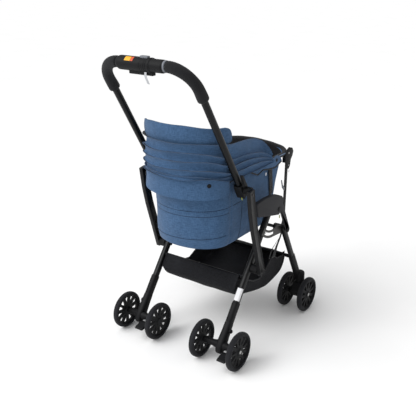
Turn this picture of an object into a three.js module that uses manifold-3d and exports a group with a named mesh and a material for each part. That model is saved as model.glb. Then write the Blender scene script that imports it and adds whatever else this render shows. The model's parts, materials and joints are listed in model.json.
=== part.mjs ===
// Pet stroller with a reversible handle: a fabric cabin on a folding frame, with four twin wheelsets.
// Millimetres, +Z up, +X to the stroller's right, +Y forward. Side-view places below are [y, z] pairs
// measured from the rear axle line on the floor; the whole group is then shifted to its box's centre.
import * as THREE from "three";
import { mergeVertices } from "three/addons/utils/BufferGeometryUtils.js";
import Module from "manifold-3d";

const wasm = await Module();
wasm.setup();

// ---- driving dimensions ----
const WHEEL_R = 70;
const WHEEL_W = 20;
const REAR_TRACK = [100, 254]; // x of the inner and outer rear wheels
const FRONT_TRACK = [166, 255]; // x of the inner and outer front wheels
const REAR_AXLE = [0, WHEEL_R];
const FRONT_AXLE = [506, WHEEL_R];
const AXLE_R = 4;
const AXLE_BORE_R = 5;

const REAR_LEG_TOP = [312, 488]; // hinge of the rear leg on the side plate
const FRONT_LEG_TOP = [388, 383]; // hinge of the front leg
const HANDLE_PIVOT = [178, 300]; // hinge of the handle on the rear leg
const HOOD_PIVOT = [300, 650]; // hinge of both hood bows
const CASTER_Y = 531; // swivel axis of the front casters
const CASTER_X = 210;
const FOLD_DEG = 36;

const REAR_LEG_X = [173, 195];
const FRONT_LEG_X = [199, 216];
const GUIDE_PLATE_X = [196, 198.4];
const SIDE_PLATE_X = [205, 220];
const ARM_X = [222, 238];
const UPRIGHT_X = [160.5, 164.5];
const PIN_R = 6;
const PIN_BORE_R = 6.9; // turning fit
const PIN_SEAT_R = PIN_R + 0.5; // fixed fit

const HANDLE_TOP = [-155, 1041]; // centre of the top bar
const HANDLE_JOINT = [116, 613]; // where tube and outer arm meet
const HANDLE_TUBE_R = 11.5;
const CASING_R = 23;
const CASING_HALF = 92;
const GRIP_R = 18;

const CABIN_FLOOR = 395;
const CABIN_TOP = 640;
const CABIN_WALL = 6;
const CABIN_WAIST = 560; // from here up the front leans further out
const RIM_ARCH = 18; // rise of the mouth's front edge between its corners
const RIM_CORNER_RISE = 8;
const ARCH_FROM_Y = 440;
const HOOD_HALF = 160;
const HOOD_REAR = -57;
const HOOD_SKIRT_Z = [605, 669];
const HOOD_MID_Z = [671, 722];
const HOOD_FRONT_Z = [724, 773];
const HOOD_VISOR_Z = [775, 840];

const REAR_BAR = [148, 268];
const FRONT_BAR = [468.7, 235];
const BAR_R = 7;

const ORIGIN_Y = (HANDLE_TOP[0] - CASING_R + FRONT_AXLE[0] + WHEEL_R) / 2;

// ---- materials ----
const finish = (color, roughness, metalness) =>
  new THREE.MeshStandardMaterial({ color, roughness, metalness });
const MAT = {
  fabric: finish(0x46699a, 0.9, 0),
  mesh: finish(0x16181b, 0.95, 0),
  tube: finish(0x1b1d21, 0.35, 0.6),
  plastic: finish(0x1c1e21, 0.55, 0),
  foam: finish(0x222326, 0.95, 0),
  tyre: finish(0x2a2b2f, 0.85, 0),
  steel: finish(0xb4b6b8, 0.3, 1),
  board: finish(0x3a3d42, 0.8, 0),
};

// ---- solids and placing ----
const stroller = new THREE.Group();
stroller.position.y = -ORIGIN_Y;

function add(name, geometry, material, place = [0, 0, 0]) {
  const mesh = new THREE.Mesh(geometry, material);
  mesh.name = name;
  mesh.position.set(...place);
  stroller.add(mesh);
  return mesh;
}

// The right-hand piece and its mirror image on the left.
function addPair(name, geometry, material) {
  add(name + "_r", geometry, material);
  add(name + "_l", geometry, material).scale.x = -1;
}

function solid(geometry) {
  const bare = geometry.index ? geometry.toNonIndexed() : geometry.clone();
  bare.deleteAttribute("normal");
  bare.deleteAttribute("uv");
  const merged = mergeVertices(bare, 1e-4);
  return new wasm.Manifold(
    new wasm.Mesh({
      numProp: 3,
      vertProperties: new Float32Array(merged.attributes.position.array),
      triVerts: new Uint32Array(merged.index.array),
    }),
  );
}

function geometryOf(manifold) {
  const mesh = manifold.getMesh();
  const geometry = new THREE.BufferGeometry();
  geometry.setAttribute("position", new THREE.BufferAttribute(mesh.vertProperties, 3));
  geometry.setIndex(new THREE.BufferAttribute(mesh.triVerts, 1));
  geometry.computeVertexNormals();
  return geometry;
}

const join = (first, ...rest) => geometryOf(rest.reduce((a, g) => a.add(solid(g)), solid(first)));
const cut = (first, ...rest) => geometryOf(rest.reduce((a, g) => a.subtract(solid(g)), solid(first)));
const overlap = (first, second) => geometryOf(solid(first).intersect(solid(second)));
const mirrored = (geometry) => geometryOf(solid(geometry).scale([-1, 1, 1]));

// ---- shapes ----
const SIDEWAYS = new THREE.Matrix4().makeBasis(
  new THREE.Vector3(0, 1, 0),
  new THREE.Vector3(0, 0, 1),
  new THREE.Vector3(1, 0, 0),
);

function shapeOf(points, holes = []) {
  const shape = new THREE.Shape(points.map((p) => new THREE.Vector2(...p)));
  shape.holes = holes.map((h) => new THREE.Path(h.map((p) => new THREE.Vector2(...p))));
  return shape;
}

function circle([y, z], radius, sides = 16, from = 0, to = 360) {
  const full = to - from === 360;
  const count = full ? sides : sides + 1;
  return Array.from({ length: count }, (_, i) => {
    const a = THREE.MathUtils.degToRad(from + ((to - from) * i) / sides);
    return [y + radius * Math.cos(a), z + radius * Math.sin(a)];
  });
}

// A side-view outline given thickness between two x values.
function slab(points, [x0, x1], holes = []) {
  const geometry = new THREE.ExtrudeGeometry(shapeOf(points, holes), {
    depth: x1 - x0,
    bevelEnabled: false,
  });
  return geometry.applyMatrix4(SIDEWAYS).translate(x0, 0, 0);
}

// A plan-view outline given height between two z values.
function plate(points, [z0, z1], holes = []) {
  return new THREE.ExtrudeGeometry(shapeOf(points, holes), {
    depth: z1 - z0,
    bevelEnabled: false,
  }).translate(0, 0, z0);
}

const rod = (at, radius, xs, sides = 12) => slab(circle(at, radius, sides), xs);

function box([x0, x1], [y0, y1], [z0, z1]) {
  return new THREE.BoxGeometry(x1 - x0, y1 - y0, z1 - z0).translate(
    (x0 + x1) / 2,
    (y0 + y1) / 2,
    (z0 + z1) / 2,
  );
}

// A turned profile of [x, radius] points about the x axis through a side-view point.
function turned(profile, [y, z], sides = 16) {
  const ends = [
    [profile[0][0], 0],
    ...profile,
    [profile[profile.length - 1][0], 0],
  ];
  const geometry = new THREE.LatheGeometry(
    ends.map(([x, r]) => new THREE.Vector2(r, x)),
    sides,
  );
  return geometry.rotateZ(-Math.PI / 2).translate(0, y, z);
}

// A point given by its distance along a leg and its offset to the leg's front.
function alongLine(start, end) {
  const length = Math.hypot(end[0] - start[0], end[1] - start[1]);
  const d = [(end[0] - start[0]) / length, (end[1] - start[1]) / length];
  const at = (s, t) => [start[0] + s * d[0] + t * d[1], start[1] + s * d[1] - t * d[0]];
  return { at, length };
}

// A closed skin through outlines of equal point count, starting at the lowest.
function loft(levels) {
  const count = levels[0].outline.length;
  const vertices = levels.flatMap(({ z, outline, rise = () => 0 }) =>
    outline.flatMap(([x, y]) => [x, y, z + rise(x, y)]),
  );
  const faces = [];
  for (let k = 0; k + 1 < levels.length; k++) {
    for (let i = 0; i < count; i++) {
      const a = k * count + i;
      const b = k * count + ((i + 1) % count);
      faces.push(a, b, b + count, a, b + count, a + count);
    }
  }
  const cap = (level, base, flip) => {
    const flat = level.outline.map((p) => new THREE.Vector2(...p));
    for (const [a, b, c] of THREE.ShapeUtils.triangulateShape(flat, [])) {
      faces.push(base + a, base + (flip ? c : b), base + (flip ? b : c));
    }
  };
  cap(levels[0], 0, true);
  cap(levels[levels.length - 1], (levels.length - 1) * count, false);
  const geometry = new THREE.BufferGeometry();
  geometry.setAttribute("position", new THREE.Float32BufferAttribute(vertices, 3));
  geometry.setIndex(faces);
  geometry.computeVertexNormals();
  return geometry;
}

// The cabin's plan: half an ellipse at the rear, straight sides, and a front with round corners.
function cabinPlan({ half, rear, depth, front, corner }) {
  const points = [];
  const REAR_STEPS = 18;
  for (let i = 0; i <= REAR_STEPS; i++) {
    const a = Math.PI + (Math.PI * i) / REAR_STEPS;
    points.push([half * Math.cos(a), rear + depth + depth * Math.sin(a)]);
  }
  const CORNER_STEPS = 4;
  for (const side of [1, -1]) {
    for (let i = 0; i <= CORNER_STEPS; i++) {
      const turn = (Math.PI / 2) * (side > 0 ? i / CORNER_STEPS : 1 - i / CORNER_STEPS);
      points.push([
        side * (half - corner + corner * Math.cos(turn)),
        front - corner + corner * Math.sin(turn),
      ]);
    }
  }
  return points;
}

// The hood's plan: a U that is open to the front, as a band between two half ellipses.
function hoodPlan({ half, rear, depth, armEnd, wall }) {
  const STEPS = 18;
  const arc = (h, r, d) =>
    Array.from({ length: STEPS + 1 }, (_, i) => {
      const a = Math.PI + (Math.PI * i) / STEPS;
      return [h * Math.cos(a), r + depth + d * Math.sin(a)];
    });
  const outer = arc(half, rear, depth);
  const inner = arc(half - wall, rear, depth - wall).reverse();
  return [
    [-half, armEnd],
    ...outer,
    [half, armEnd],
    [half - wall, armEnd],
    ...inner,
    [wall - half, armEnd],
  ];
}

// ---- wheels ----
function wheelGeometry() {
  const SPOKES = 11;
  const WINDOW_IN = 24;
  const WINDOW_OUT = 53;
  const SPOKE_HALF = 4;
  const windows = Array.from({ length: SPOKES }, (_, k) => {
    const mid = (2 * Math.PI * (k + 0.5)) / SPOKES;
    const half = Math.PI / SPOKES;
    const edge = (r) => half - SPOKE_HALF / r;
    const at = (r, a) => [r * Math.cos(mid + a), r * Math.sin(mid + a)];
    return [
      at(WINDOW_IN, -edge(WINDOW_IN)),
      at(WINDOW_IN - 3, 0),
      at(WINDOW_IN, edge(WINDOW_IN)),
      at(WINDOW_OUT - 6, edge(WINDOW_OUT - 6)),
      at(WINDOW_OUT, 0),
      at(WINDOW_OUT - 6, -edge(WINDOW_OUT - 6)),
    ];
  });
  const bore = circle([0, 0], AXLE_R + 0.6, 10);
  const half = WHEEL_W / 2;
  return slab(circle([0, 0], WHEEL_R, 32), [-half, half], [...windows, bore]);
}

const wheel = wheelGeometry();
const WHEELSETS = [
  { place: "rear", side: 1, track: REAR_TRACK, axle: REAR_AXLE },
  { place: "rear", side: -1, track: REAR_TRACK, axle: REAR_AXLE },
  { place: "front", side: 1, track: FRONT_TRACK, axle: FRONT_AXLE },
  { place: "front", side: -1, track: FRONT_TRACK, axle: FRONT_AXLE },
];
for (const { place, side, track, axle } of WHEELSETS) {
  const hand = side > 0 ? "r" : "l";
  const ends = [track[0] - WHEEL_W / 2 + 1, track[1] + WHEEL_W / 2 - 1];
  const xs = side > 0 ? ends : [-ends[1], -ends[0]];
  add(`${place}_axle_${hand}`, rod(axle, AXLE_R, xs, 12), MAT.steel);
  add(`${place}_wheel_${hand}_inner`, wheel, MAT.tyre, [side * track[0], ...axle]);
  add(`${place}_wheel_${hand}_outer`, wheel, MAT.tyre, [side * track[1], ...axle]);
}

// ---- rear legs ----
const rearLine = alongLine(REAR_AXLE, REAR_LEG_TOP);
const REAR_LEG_HALF = 12;
const SLEEVE_HALF = 15;
const SLEEVE_TOP = 156;
const LEG_START = 40;
const GUIDE_PIN_AT = rearLine.at(rearLine.length - 97.4, 0);

function rearLegOutline(extra) {
  const { at, length } = rearLine;
  const round = [-60, -20, 20, 60].map((deg) => {
    const a = THREE.MathUtils.degToRad(deg);
    const r = REAR_LEG_HALF + 3 + extra;
    return at(length + r * Math.cos(a), r * Math.sin(a));
  });
  return [
    at(LEG_START - extra, SLEEVE_HALF + extra),
    at(LEG_START - extra, -SLEEVE_HALF - extra),
    at(SLEEVE_TOP, -SLEEVE_HALF - extra),
    at(SLEEVE_TOP + 6, -REAR_LEG_HALF - extra),
    at(length - 4, -REAR_LEG_HALF - extra),
    ...round,
    at(length - 4, REAR_LEG_HALF + extra),
    at(SLEEVE_TOP + 6, REAR_LEG_HALF + extra),
    at(SLEEVE_TOP, SLEEVE_HALF + extra),
  ];
}

const guidePin = rod(GUIDE_PIN_AT, 4, [REAR_LEG_X[1] - 1, GUIDE_PLATE_X[1] + 2], 10);
const rearLeg = join(
  slab(rearLegOutline(0), REAR_LEG_X, [
    circle(REAR_LEG_TOP, PIN_BORE_R, 12),
    circle(HANDLE_PIVOT, PIN_BORE_R, 12),
  ]),
  guidePin,
);
addPair("rear_leg", rearLeg, MAT.tube);
add(
  "rear_crossbar",
  rod(REAR_BAR, BAR_R, [-REAR_LEG_X[0] + 0.5, REAR_LEG_X[0] - 0.5], 12),
  MAT.tube,
);

const PIVOT_END = SIDE_PLATE_X[1] + 1;
addPair("rear_pivot_pin", rod(REAR_LEG_TOP, PIN_R, [170, PIVOT_END]), MAT.steel);
add("front_pivot_rod", rod(FRONT_LEG_TOP, PIN_R, [-PIVOT_END, PIVOT_END]), MAT.steel);

// ---- rear wheel housings and brake pedals ----
const HOUSING_X = [168, 200];
const PEDAL_PIVOT = [-20, 52];
const PEDAL_PIN_R = 3;

function rearHousing() {
  const { at } = rearLine;
  const outline = [
    at(108, -18),
    at(108, 18),
    at(44, 18),
    at(20, 22),
    at(-8, 21),
    at(-20, 12),
    at(-33, 2),
    at(-34, -10),
    at(-27, -16),
    at(-8, -22),
    at(20, -22),
    at(44, -18),
  ];
  const ends = [REAR_TRACK[0] + WHEEL_W / 2 + 1.5, REAR_TRACK[1] - WHEEL_W / 2 - 1.5];
  const horns = turned(
    [
      [ends[0], 11],
      [HOUSING_X[0] - 22, 12],
      [HOUSING_X[0], 19],
      [HOUSING_X[1], 19],
      [HOUSING_X[1] + 14, 12],
      [ends[1], 11],
    ],
    REAR_AXLE,
  );
  const block = solid(slab(outline, HOUSING_X)).add(solid(horns));
  const [x0, x1] = REAR_LEG_X;
  return geometryOf(
    block
      .subtract(solid(slab(rearLegOutline(0.4), [x0 - 0.4, x1 + 0.4])))
      .subtract(solid(rod(REAR_AXLE, AXLE_BORE_R, [90, 260], 12)))
      .subtract(solid(rod(PEDAL_PIVOT, PEDAL_PIN_R + 0.8, [150, 210], 12))),
  );
}
addPair("rear_housing", rearHousing(), MAT.plastic);

function brakePedal() {
  const [y, z] = PEDAL_PIVOT;
  const x0 = HOUSING_X[1] + 1;
  const tread = slab(
    [
      [y + 6, z + 5],
      [y - 4, z + 7],
      [y - 34, z - 2],
      [y - 38, z - 8],
      [y - 32, z - 9],
      [y, z - 6],
      [y + 6, z - 3],
    ],
    [x0, x0 + 34],
  );
  return join(tread, rod(PEDAL_PIVOT, PEDAL_PIN_R, [x0 - 22, x0 + 1], 12));
}
const pedal = brakePedal();
add("brake_pedal_r", pedal, MAT.plastic);
add("brake_pedal_l", pedal, MAT.plastic, [-(HOUSING_X[0] + HOUSING_X[1]), 0, 0]);

// ---- front legs and casters ----
const CASTER_TOP = 106;
const legFoot = [FRONT_LEG_TOP[0] + 143, FRONT_LEG_TOP[1] - 262];
const frontLine = alongLine(FRONT_LEG_TOP, legFoot);
const FRONT_LEG_HALF = 12;
const FRONT_SLEEVE_HALF = 15;
const FRONT_SLEEVE_FROM = 165;

function frontLeg() {
  const { at, length } = frontLine;
  const outline = [
    at(-13, -6),
    at(-13, 6),
    at(-6, FRONT_LEG_HALF),
    at(FRONT_SLEEVE_FROM - 6, FRONT_LEG_HALF),
    at(FRONT_SLEEVE_FROM, FRONT_SLEEVE_HALF),
    at(length - 6, FRONT_SLEEVE_HALF),
    at(length - 6, -FRONT_SLEEVE_HALF),
    at(FRONT_SLEEVE_FROM, -FRONT_SLEEVE_HALF),
    at(FRONT_SLEEVE_FROM - 6, -FRONT_LEG_HALF),
    at(-6, -FRONT_LEG_HALF),
  ];
  const socket = new THREE.CylinderGeometry(18, 18, 46, 16)
    .rotateX(Math.PI / 2)
    .translate(CASTER_X, CASTER_Y, CASTER_TOP + 23);
  const stemBore = new THREE.CylinderGeometry(6, 6, 50, 12)
    .rotateX(Math.PI / 2)
    .translate(CASTER_X, CASTER_Y, CASTER_TOP + 15);
  return geometryOf(
    solid(slab(outline, FRONT_LEG_X))
      .add(solid(socket))
      .subtract(solid(stemBore))
      .subtract(solid(rod(FRONT_LEG_TOP, PIN_BORE_R, [190, 222], 12))),
  );
}
addPair("front_leg", frontLeg(), MAT.tube);
add(
  "front_crossbar",
  rod(FRONT_BAR, BAR_R, [-FRONT_LEG_X[0] + 0.5, FRONT_LEG_X[0] - 0.5], 12),
  MAT.tube,
);

function casterFork() {
  const [y, z] = FRONT_AXLE;
  const outline = [
    [y + 8, CASTER_TOP - 0.5],
    [y + 42, CASTER_TOP - 0.5],
    [y + 43, z + 22],
    [y + 26, z + 8],
    [y + 16, z - 14],
    [y - 2, z - 21],
    [y - 18, z - 12],
    [y - 20, z + 8],
    [y - 6, z + 26],
  ];
  const ends = [FRONT_TRACK[0] + WHEEL_W / 2 + 1.5, FRONT_TRACK[1] - WHEEL_W / 2 - 1.5];
  const horns = turned(
    [
      [ends[0], 11],
      [191, 17],
      [229, 17],
      [ends[1], 11],
    ],
    FRONT_AXLE,
  );
  const stem = new THREE.CylinderGeometry(5, 5, 36, 12)
    .rotateX(Math.PI / 2)
    .translate(CASTER_X, CASTER_Y, CASTER_TOP + 14);
  return geometryOf(
    solid(slab(outline, [191, 229]))
      .add(solid(horns))
      .add(solid(stem))
      .subtract(solid(rod(FRONT_AXLE, AXLE_BORE_R, [150, 260], 12))),
  );
}
addPair("caster_fork", casterFork(), MAT.plastic);

// ---- seat frame: side plates, guide plates and uprights ----
const CABIN_LEVELS = [
  { z: CABIN_FLOOR, half: 122, rear: 16, depth: 92, front: 372, corner: 40 },
  { z: CABIN_FLOOR + 9, half: 142, rear: -5, depth: 108, front: 394, corner: 50 },
  { z: CABIN_FLOOR + 40, half: 147, rear: -10, depth: 112, front: 412, corner: 54 },
  { z: CABIN_WAIST, half: 149, rear: -12, depth: 114, front: 452, corner: 56 },
  { z: CABIN_TOP, half: 150, rear: -32, depth: 124, front: 484, corner: 44 },
];

function sidePlate() {
  const [ty, tz] = REAR_LEG_TOP;
  const outline = [
    [156, 548],
    [166, 506],
    [174, 500],
    [ty - 14, tz - 18],
    [ty, tz - 21],
    [ty + 14, tz - 15],
    [342, 504],
    [346, 518],
    [330, 534],
    [300, 547],
    [262, 555],
    [210, 557],
    [164, 554],
  ];
  const body = slab(outline, SIDE_PLATE_X);
  const [fy, fz] = FRONT_LEG_TOP;
  const tongue = slab(
    [
      [318, 482],
      [fy - 10, fz - 6],
      [fy, fz - 12],
      [fy + 11, fz - 4],
      [fy + 9, fz + 10],
      [338, 510],
    ],
    [SIDE_PLATE_X[1] - 3, SIDE_PLATE_X[1]],
  );
  return geometryOf(
    solid(body)
      .add(solid(tongue))
      .subtract(solid(rod(REAR_LEG_TOP, PIN_SEAT_R, [200, 230], 12)))
      .subtract(solid(rod(FRONT_LEG_TOP, PIN_SEAT_R, [200, 230], 12))),
  );
}
addPair("side_plate", sidePlate(), MAT.plastic);

function guidePlate() {
  const [cy, cz] = REAR_LEG_TOP;
  const radius = Math.hypot(GUIDE_PIN_AT[0] - cy, GUIDE_PIN_AT[1] - cz);
  const start = THREE.MathUtils.radToDeg(Math.atan2(GUIDE_PIN_AT[1] - cz, GUIDE_PIN_AT[0] - cy));
  const SLOT_HALF = 5.5;
  const MARGIN_DEG = 4;
  const from = start - MARGIN_DEG;
  const to = start + FOLD_DEG + MARGIN_DEG;
  const slot = [
    ...circle([cy, cz], radius + SLOT_HALF, 6, from, to),
    ...circle([cy, cz], radius - SLOT_HALF, 6, from, to).reverse(),
  ];
  const [fy, fz] = FRONT_LEG_TOP;
  const outline = [
    ...circle([cy, cz], radius + 15, 6, from - 5, to - 4),
    [fy - 8, fz - 14],
    [fy + 8, fz - 12],
    [fy + 13, fz],
    [fy + 6, fz + 12],
    ...circle([cy, cz], radius - 14, 6, from - 5, to + 14).reverse(),
  ];
  return cut(
    slab(outline, GUIDE_PLATE_X, [slot]),
    rod(FRONT_LEG_TOP, PIN_SEAT_R, [190, 205], 12),
  );
}
addPair("guide_plate", guidePlate(), MAT.steel);

function upright() {
  const [fy, fz] = FRONT_LEG_TOP;
  const bar = slab(
    [
      [fy - 11, fz + 4],
      [fy - 8, fz - 10],
      [fy + 4, fz - 13],
      [446, 352],
      [458, 360],
      [464, 380],
      [470, 622],
      [452, 622],
      [448, 384],
      [442, 374],
      [fy + 8, fz + 12],
      [fy - 4, fz + 13],
    ],
    UPRIGHT_X,
  );
  const bracket = box([151, UPRIGHT_X[1]], [448, 488], [618, 642]);
  return cut(
    join(bar, bracket),
    rod(FRONT_LEG_TOP, PIN_SEAT_R, [150, 170], 12),
    plate(cabinPlan({ ...CABIN_LEVELS[CABIN_LEVELS.length - 1], half: 150.4, front: 486 }), [610, 650]),
  );
}

// ---- cabin ----
// How far the mouth's edge rises towards the middle of its front.
function mouthRise(x, y) {
  const forward = Math.max(0, (y - ARCH_FROM_Y) / (CABIN_LEVELS.at(-1).front - ARCH_FROM_Y));
  const across = Math.cos((Math.PI / 2) * Math.min(1, Math.abs(x) / CABIN_LEVELS.at(-1).half));
  return forward * (RIM_CORNER_RISE + RIM_ARCH * across);
}

function cabinSkin(inset, lift) {
  const skin = CABIN_LEVELS.map((level, i) => ({
    z: level.z + (i < 2 ? lift : 0),
    outline: cabinPlan({
      half: level.half - inset,
      rear: level.rear + inset,
      depth: level.depth - inset,
      front: level.front - inset,
      corner: level.corner - inset / 2,
    }),
  }));
  skin.at(-1).rise = mouthRise;
  return skin;
}
// Up the outside, over the mouth's edge and down the inside to the floor.
const cabinWalls = [...cabinSkin(0, 0), ...cabinSkin(CABIN_WALL, CABIN_WALL).reverse()];
add("cabin_tub", loft(cabinWalls), MAT.fabric);
add(
  "floor_board",
  plate(cabinPlan({ half: 112, rear: 30, depth: 80, front: 360, corner: 30 }), [
    CABIN_FLOOR + CABIN_WALL + 0.5,
    CABIN_FLOOR + CABIN_WALL + 4.5,
  ]),
  MAT.board,
);
addPair("upright", upright(), MAT.plastic);

// The padded rim round the front half of the cabin's mouth.
function rim() {
  const HALF = 152;
  const START = 322;
  const FRONT = 487;
  const HEIGHT = CABIN_TOP + 10;
  const CORNER = 42;
  const THICK_R = 7;
  const quarter = [0, 30, 60, 90].map((deg) => THREE.MathUtils.degToRad(deg));
  const right = [
    [HALF, START],
    [HALF, (START + FRONT - CORNER) / 2],
    ...quarter.map((a) => [
      HALF - CORNER + CORNER * Math.cos(a),
      FRONT - CORNER + CORNER * Math.sin(a),
    ]),
    [HALF / 3, FRONT],
  ];
  const left = right.map(([x, y]) => [-x, y]).reverse();
  const through = [...right, ...left].map(
    ([x, y]) => new THREE.Vector3(x, y, HEIGHT + mouthRise(x, y)),
  );
  return new THREE.ExtrudeGeometry(shapeOf(circle([0, 0], THICK_R, 8)), {
    extrudePath: new THREE.CatmullRomCurve3(through, false, "centripetal"),
    steps: 34,
    bevelEnabled: false,
  });
}
add("cabin_rim", rim(), MAT.foam);

// ---- hood ----
const MAX_ARM_DEG = 60;

// Keeps the part of a moving hood piece that lies behind its hinge, below a steep line through it.
function behindHinge(geometry) {
  const [y, z] = HOOD_PIVOT;
  const reach = 400;
  const a = THREE.MathUtils.degToRad(MAX_ARM_DEG);
  const wedge = slab(
    [
      [y - 3, z],
      [y - 3 - reach * Math.cos(a), z + reach * Math.sin(a)],
      [-200, z + reach * Math.sin(a)],
      [-200, z],
    ],
    [-200, 200],
  );
  return overlap(geometry, wedge);
}

const BAND = { half: HOOD_HALF, rear: HOOD_REAR, depth: 132, armEnd: 298, wall: 20 };
add(
  "hood_skirt",
  plate(hoodPlan({ ...BAND, rear: HOOD_REAR + 2, depth: 130, wall: 9, armEnd: 300 }), HOOD_SKIRT_Z),
  MAT.fabric,
);
add("hood_mid_band", behindHinge(plate(hoodPlan(BAND), HOOD_MID_Z)), MAT.fabric);
add("hood_front_band", behindHinge(plate(hoodPlan(BAND), HOOD_FRONT_Z)), MAT.fabric);
add(
  "hood_visor",
  plate(hoodPlan({ half: 152, rear: -47, depth: 122, armEnd: 96, wall: 12 }), HOOD_VISOR_Z),
  MAT.fabric,
);

function bow(x, rise, thick) {
  const [py, pz] = HOOD_PIVOT;
  const WIDE = 10;
  const outline = hoodPlan({ half: x + thick, rear: -34 - py, depth: 112, armEnd: 0, wall: thick });
  const strip = plate(outline, [-WIDE / 2, WIDE / 2]);
  const eye = rod([0, 0], 8, [x, x + thick], 12);
  const bore = rod([0, 0], 3.4, [-200, 200], 10);
  return geometryOf(
    solid(strip).add(solid(eye)).add(solid(mirrored(eye))).subtract(solid(bore)),
  )
    .rotateX(-THREE.MathUtils.degToRad(rise))
    .translate(0, py, pz);
}
add("canopy_bow_mid", bow(130, 6.5, 3), MAT.plastic);
add("canopy_bow_front", bow(135, 14.5, 3), MAT.plastic);

function hoodHinge() {
  const [y, z] = HOOD_PIVOT;
  const leaf = box([143.5, 149.5], [y - 13, y + 13], [CABIN_TOP + 0.5, z + 12]);
  return join(leaf, rod(HOOD_PIVOT, 2.8, [128.5, 144], 10));
}
addPair("hood_hinge", hoodHinge(), MAT.plastic);

// ---- basket ----
function basket() {
  const HALF = 165;
  const WALL = 5;
  const outer = [
    [127, 276],
    [105, 226],
    [150, 196],
    [210, 172],
    [300, 151],
    [370, 147],
    [440, 158],
    [490, 182],
    [497, 205],
    [485, 244],
  ];
  const inner = [
    [132, 290],
    [112, 228],
    [153, 202],
    [211, 178],
    [301, 157],
    [369, 153],
    [438, 164],
    [485, 186],
    [491, 206],
    [478, 258],
  ];
  return cut(
    slab(outer, [-HALF, HALF]),
    slab(inner, [WALL - HALF, HALF - WALL]),
    rod(REAR_BAR, BAR_R + 0.8, [-170, 170], 12),
    rod(FRONT_BAR, BAR_R + 0.8, [-170, 170], 12),
  );
}
add("basket", basket(), MAT.mesh);

// ---- handle ----
function handlePath(from) {
  const BEND = 82;
  const up = new THREE.Vector3(0, HANDLE_TOP[0] + 88, HANDLE_TOP[1] - 942);
  const rise = up.length();
  up.normalize();
  const shoulder = new THREE.Vector3(174.5, -88, 942);
  const bendStart = shoulder.clone().addScaledVector(up, rise - BEND);
  const bendEnd = new THREE.Vector3(174.5 - BEND, ...HANDLE_TOP);
  const K = 0.5523 * BEND;
  const path = new THREE.CurvePath();
  if (from === "foot") path.add(new THREE.LineCurve3(new THREE.Vector3(180.5, 126, 597), shoulder));
  path.add(new THREE.LineCurve3(shoulder, bendStart));
  path.add(
    new THREE.CubicBezierCurve3(
      bendStart,
      bendStart.clone().addScaledVector(up, K),
      bendEnd.clone().add(new THREE.Vector3(K, 0, 0)),
      bendEnd,
    ),
  );
  return path;
}

function swept(path, section, holes, steps) {
  return new THREE.ExtrudeGeometry(shapeOf(section, holes), {
    extrudePath: path,
    steps,
    bevelEnabled: false,
  });
}
const handleTube = swept(handlePath("foot"), circle([0, 0], HANDLE_TUBE_R, 12), [], 20);
addPair("handle_tube", handleTube, MAT.tube);
addPair(
  "grip",
  swept(handlePath("shoulder"), circle([0, 0], GRIP_R, 12), [circle([0, 0], 13.4, 12)], 9),
  MAT.foam,
);

function armOutline(centre, half) {
  const left = [];
  const right = [];
  centre.forEach(([y, z], i) => {
    const [ay, az] = centre[Math.max(i - 1, 0)];
    const [by, bz] = centre[Math.min(i + 1, centre.length - 1)];
    const length = Math.hypot(by - ay, bz - az);
    const n = [(bz - az) / length, -(by - ay) / length];
    left.push([y + half * n[0], z + half * n[1]]);
    right.unshift([y - half * n[0], z - half * n[1]]);
  });
  return [...left, ...right];
}

function outerArm() {
  const [py, pz] = HANDLE_PIVOT;
  const centre = [[py + 4, pz - 14], [py, pz], [151, 390], [124, 478], [108, 545], [99, 604], [96, 622]];
  return cut(
    slab(armOutline(centre, 14), ARM_X),
    rod(HANDLE_PIVOT, PIN_BORE_R, [210, 245], 12),
  );
}
addPair("outer_arm", outerArm(), MAT.tube);

function jointBlock() {
  const tubeLine = alongLine([126, 597], [-88, 942]);
  const at = (s, t) => tubeLine.at(s, t);
  const clamp = slab(
    [at(-8, -19), at(-8, 19), at(30, 20), at(44, 15), at(44, -15), at(30, -18)],
    [166.5, 196],
  );
  const bridge = rod(HANDLE_JOINT, 13, [190, ARM_X[0] - 0.5], 14);
  const bore = swept(
    new THREE.LineCurve3(new THREE.Vector3(180.8, 135, 582), new THREE.Vector3(173.9, -108, 974)),
    circle([0, 0], HANDLE_TUBE_R + 0.7, 16),
    [],
    1,
  );
  return cut(join(clamp, bridge), bore);
}
addPair("joint_block", jointBlock(), MAT.plastic);

// Shouldered pin between leg and arm, on which the handle turns.
const pivotCollar = rod(HANDLE_PIVOT, 17, [REAR_LEG_X[1] + 0.5, ARM_X[0] - 0.5]);
addPair("handle_pivot", join(pivotCollar, rod(HANDLE_PIVOT, PIN_R, [171, ARM_X[1] + 1])), MAT.plastic);

// Thumb lever above each joint block, which frees the handle for turning round.
const LATCH_PIVOT = [101, 636];
function latchLever() {
  const [y, z] = LATCH_PIVOT;
  return slab(
    [
      [y - 6, z - 8],
      [y + 6, z - 8],
      [y + 8, z + 4],
      [y - 10, z + 34],
      [y - 18, z + 38],
      [y - 20, z + 32],
      [y - 8, z + 6],
    ],
    [196.6, 206],
  );
}
addPair("latch_lever", latchLever(), MAT.plastic);

// ---- handle release unit ----
const LEVER_HALF = 46;
const LEVER_DEEP = 8;
const LEVER_Z = [-31, -14]; // from the bar's centre
const LEVER_TRAVEL = 6;
const BUTTON_X = [-3, 27];
const BUTTON_DEEP = 7;
const BUTTON_Z = [15, 25];
const BUTTON_TRAVEL = 10;

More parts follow.
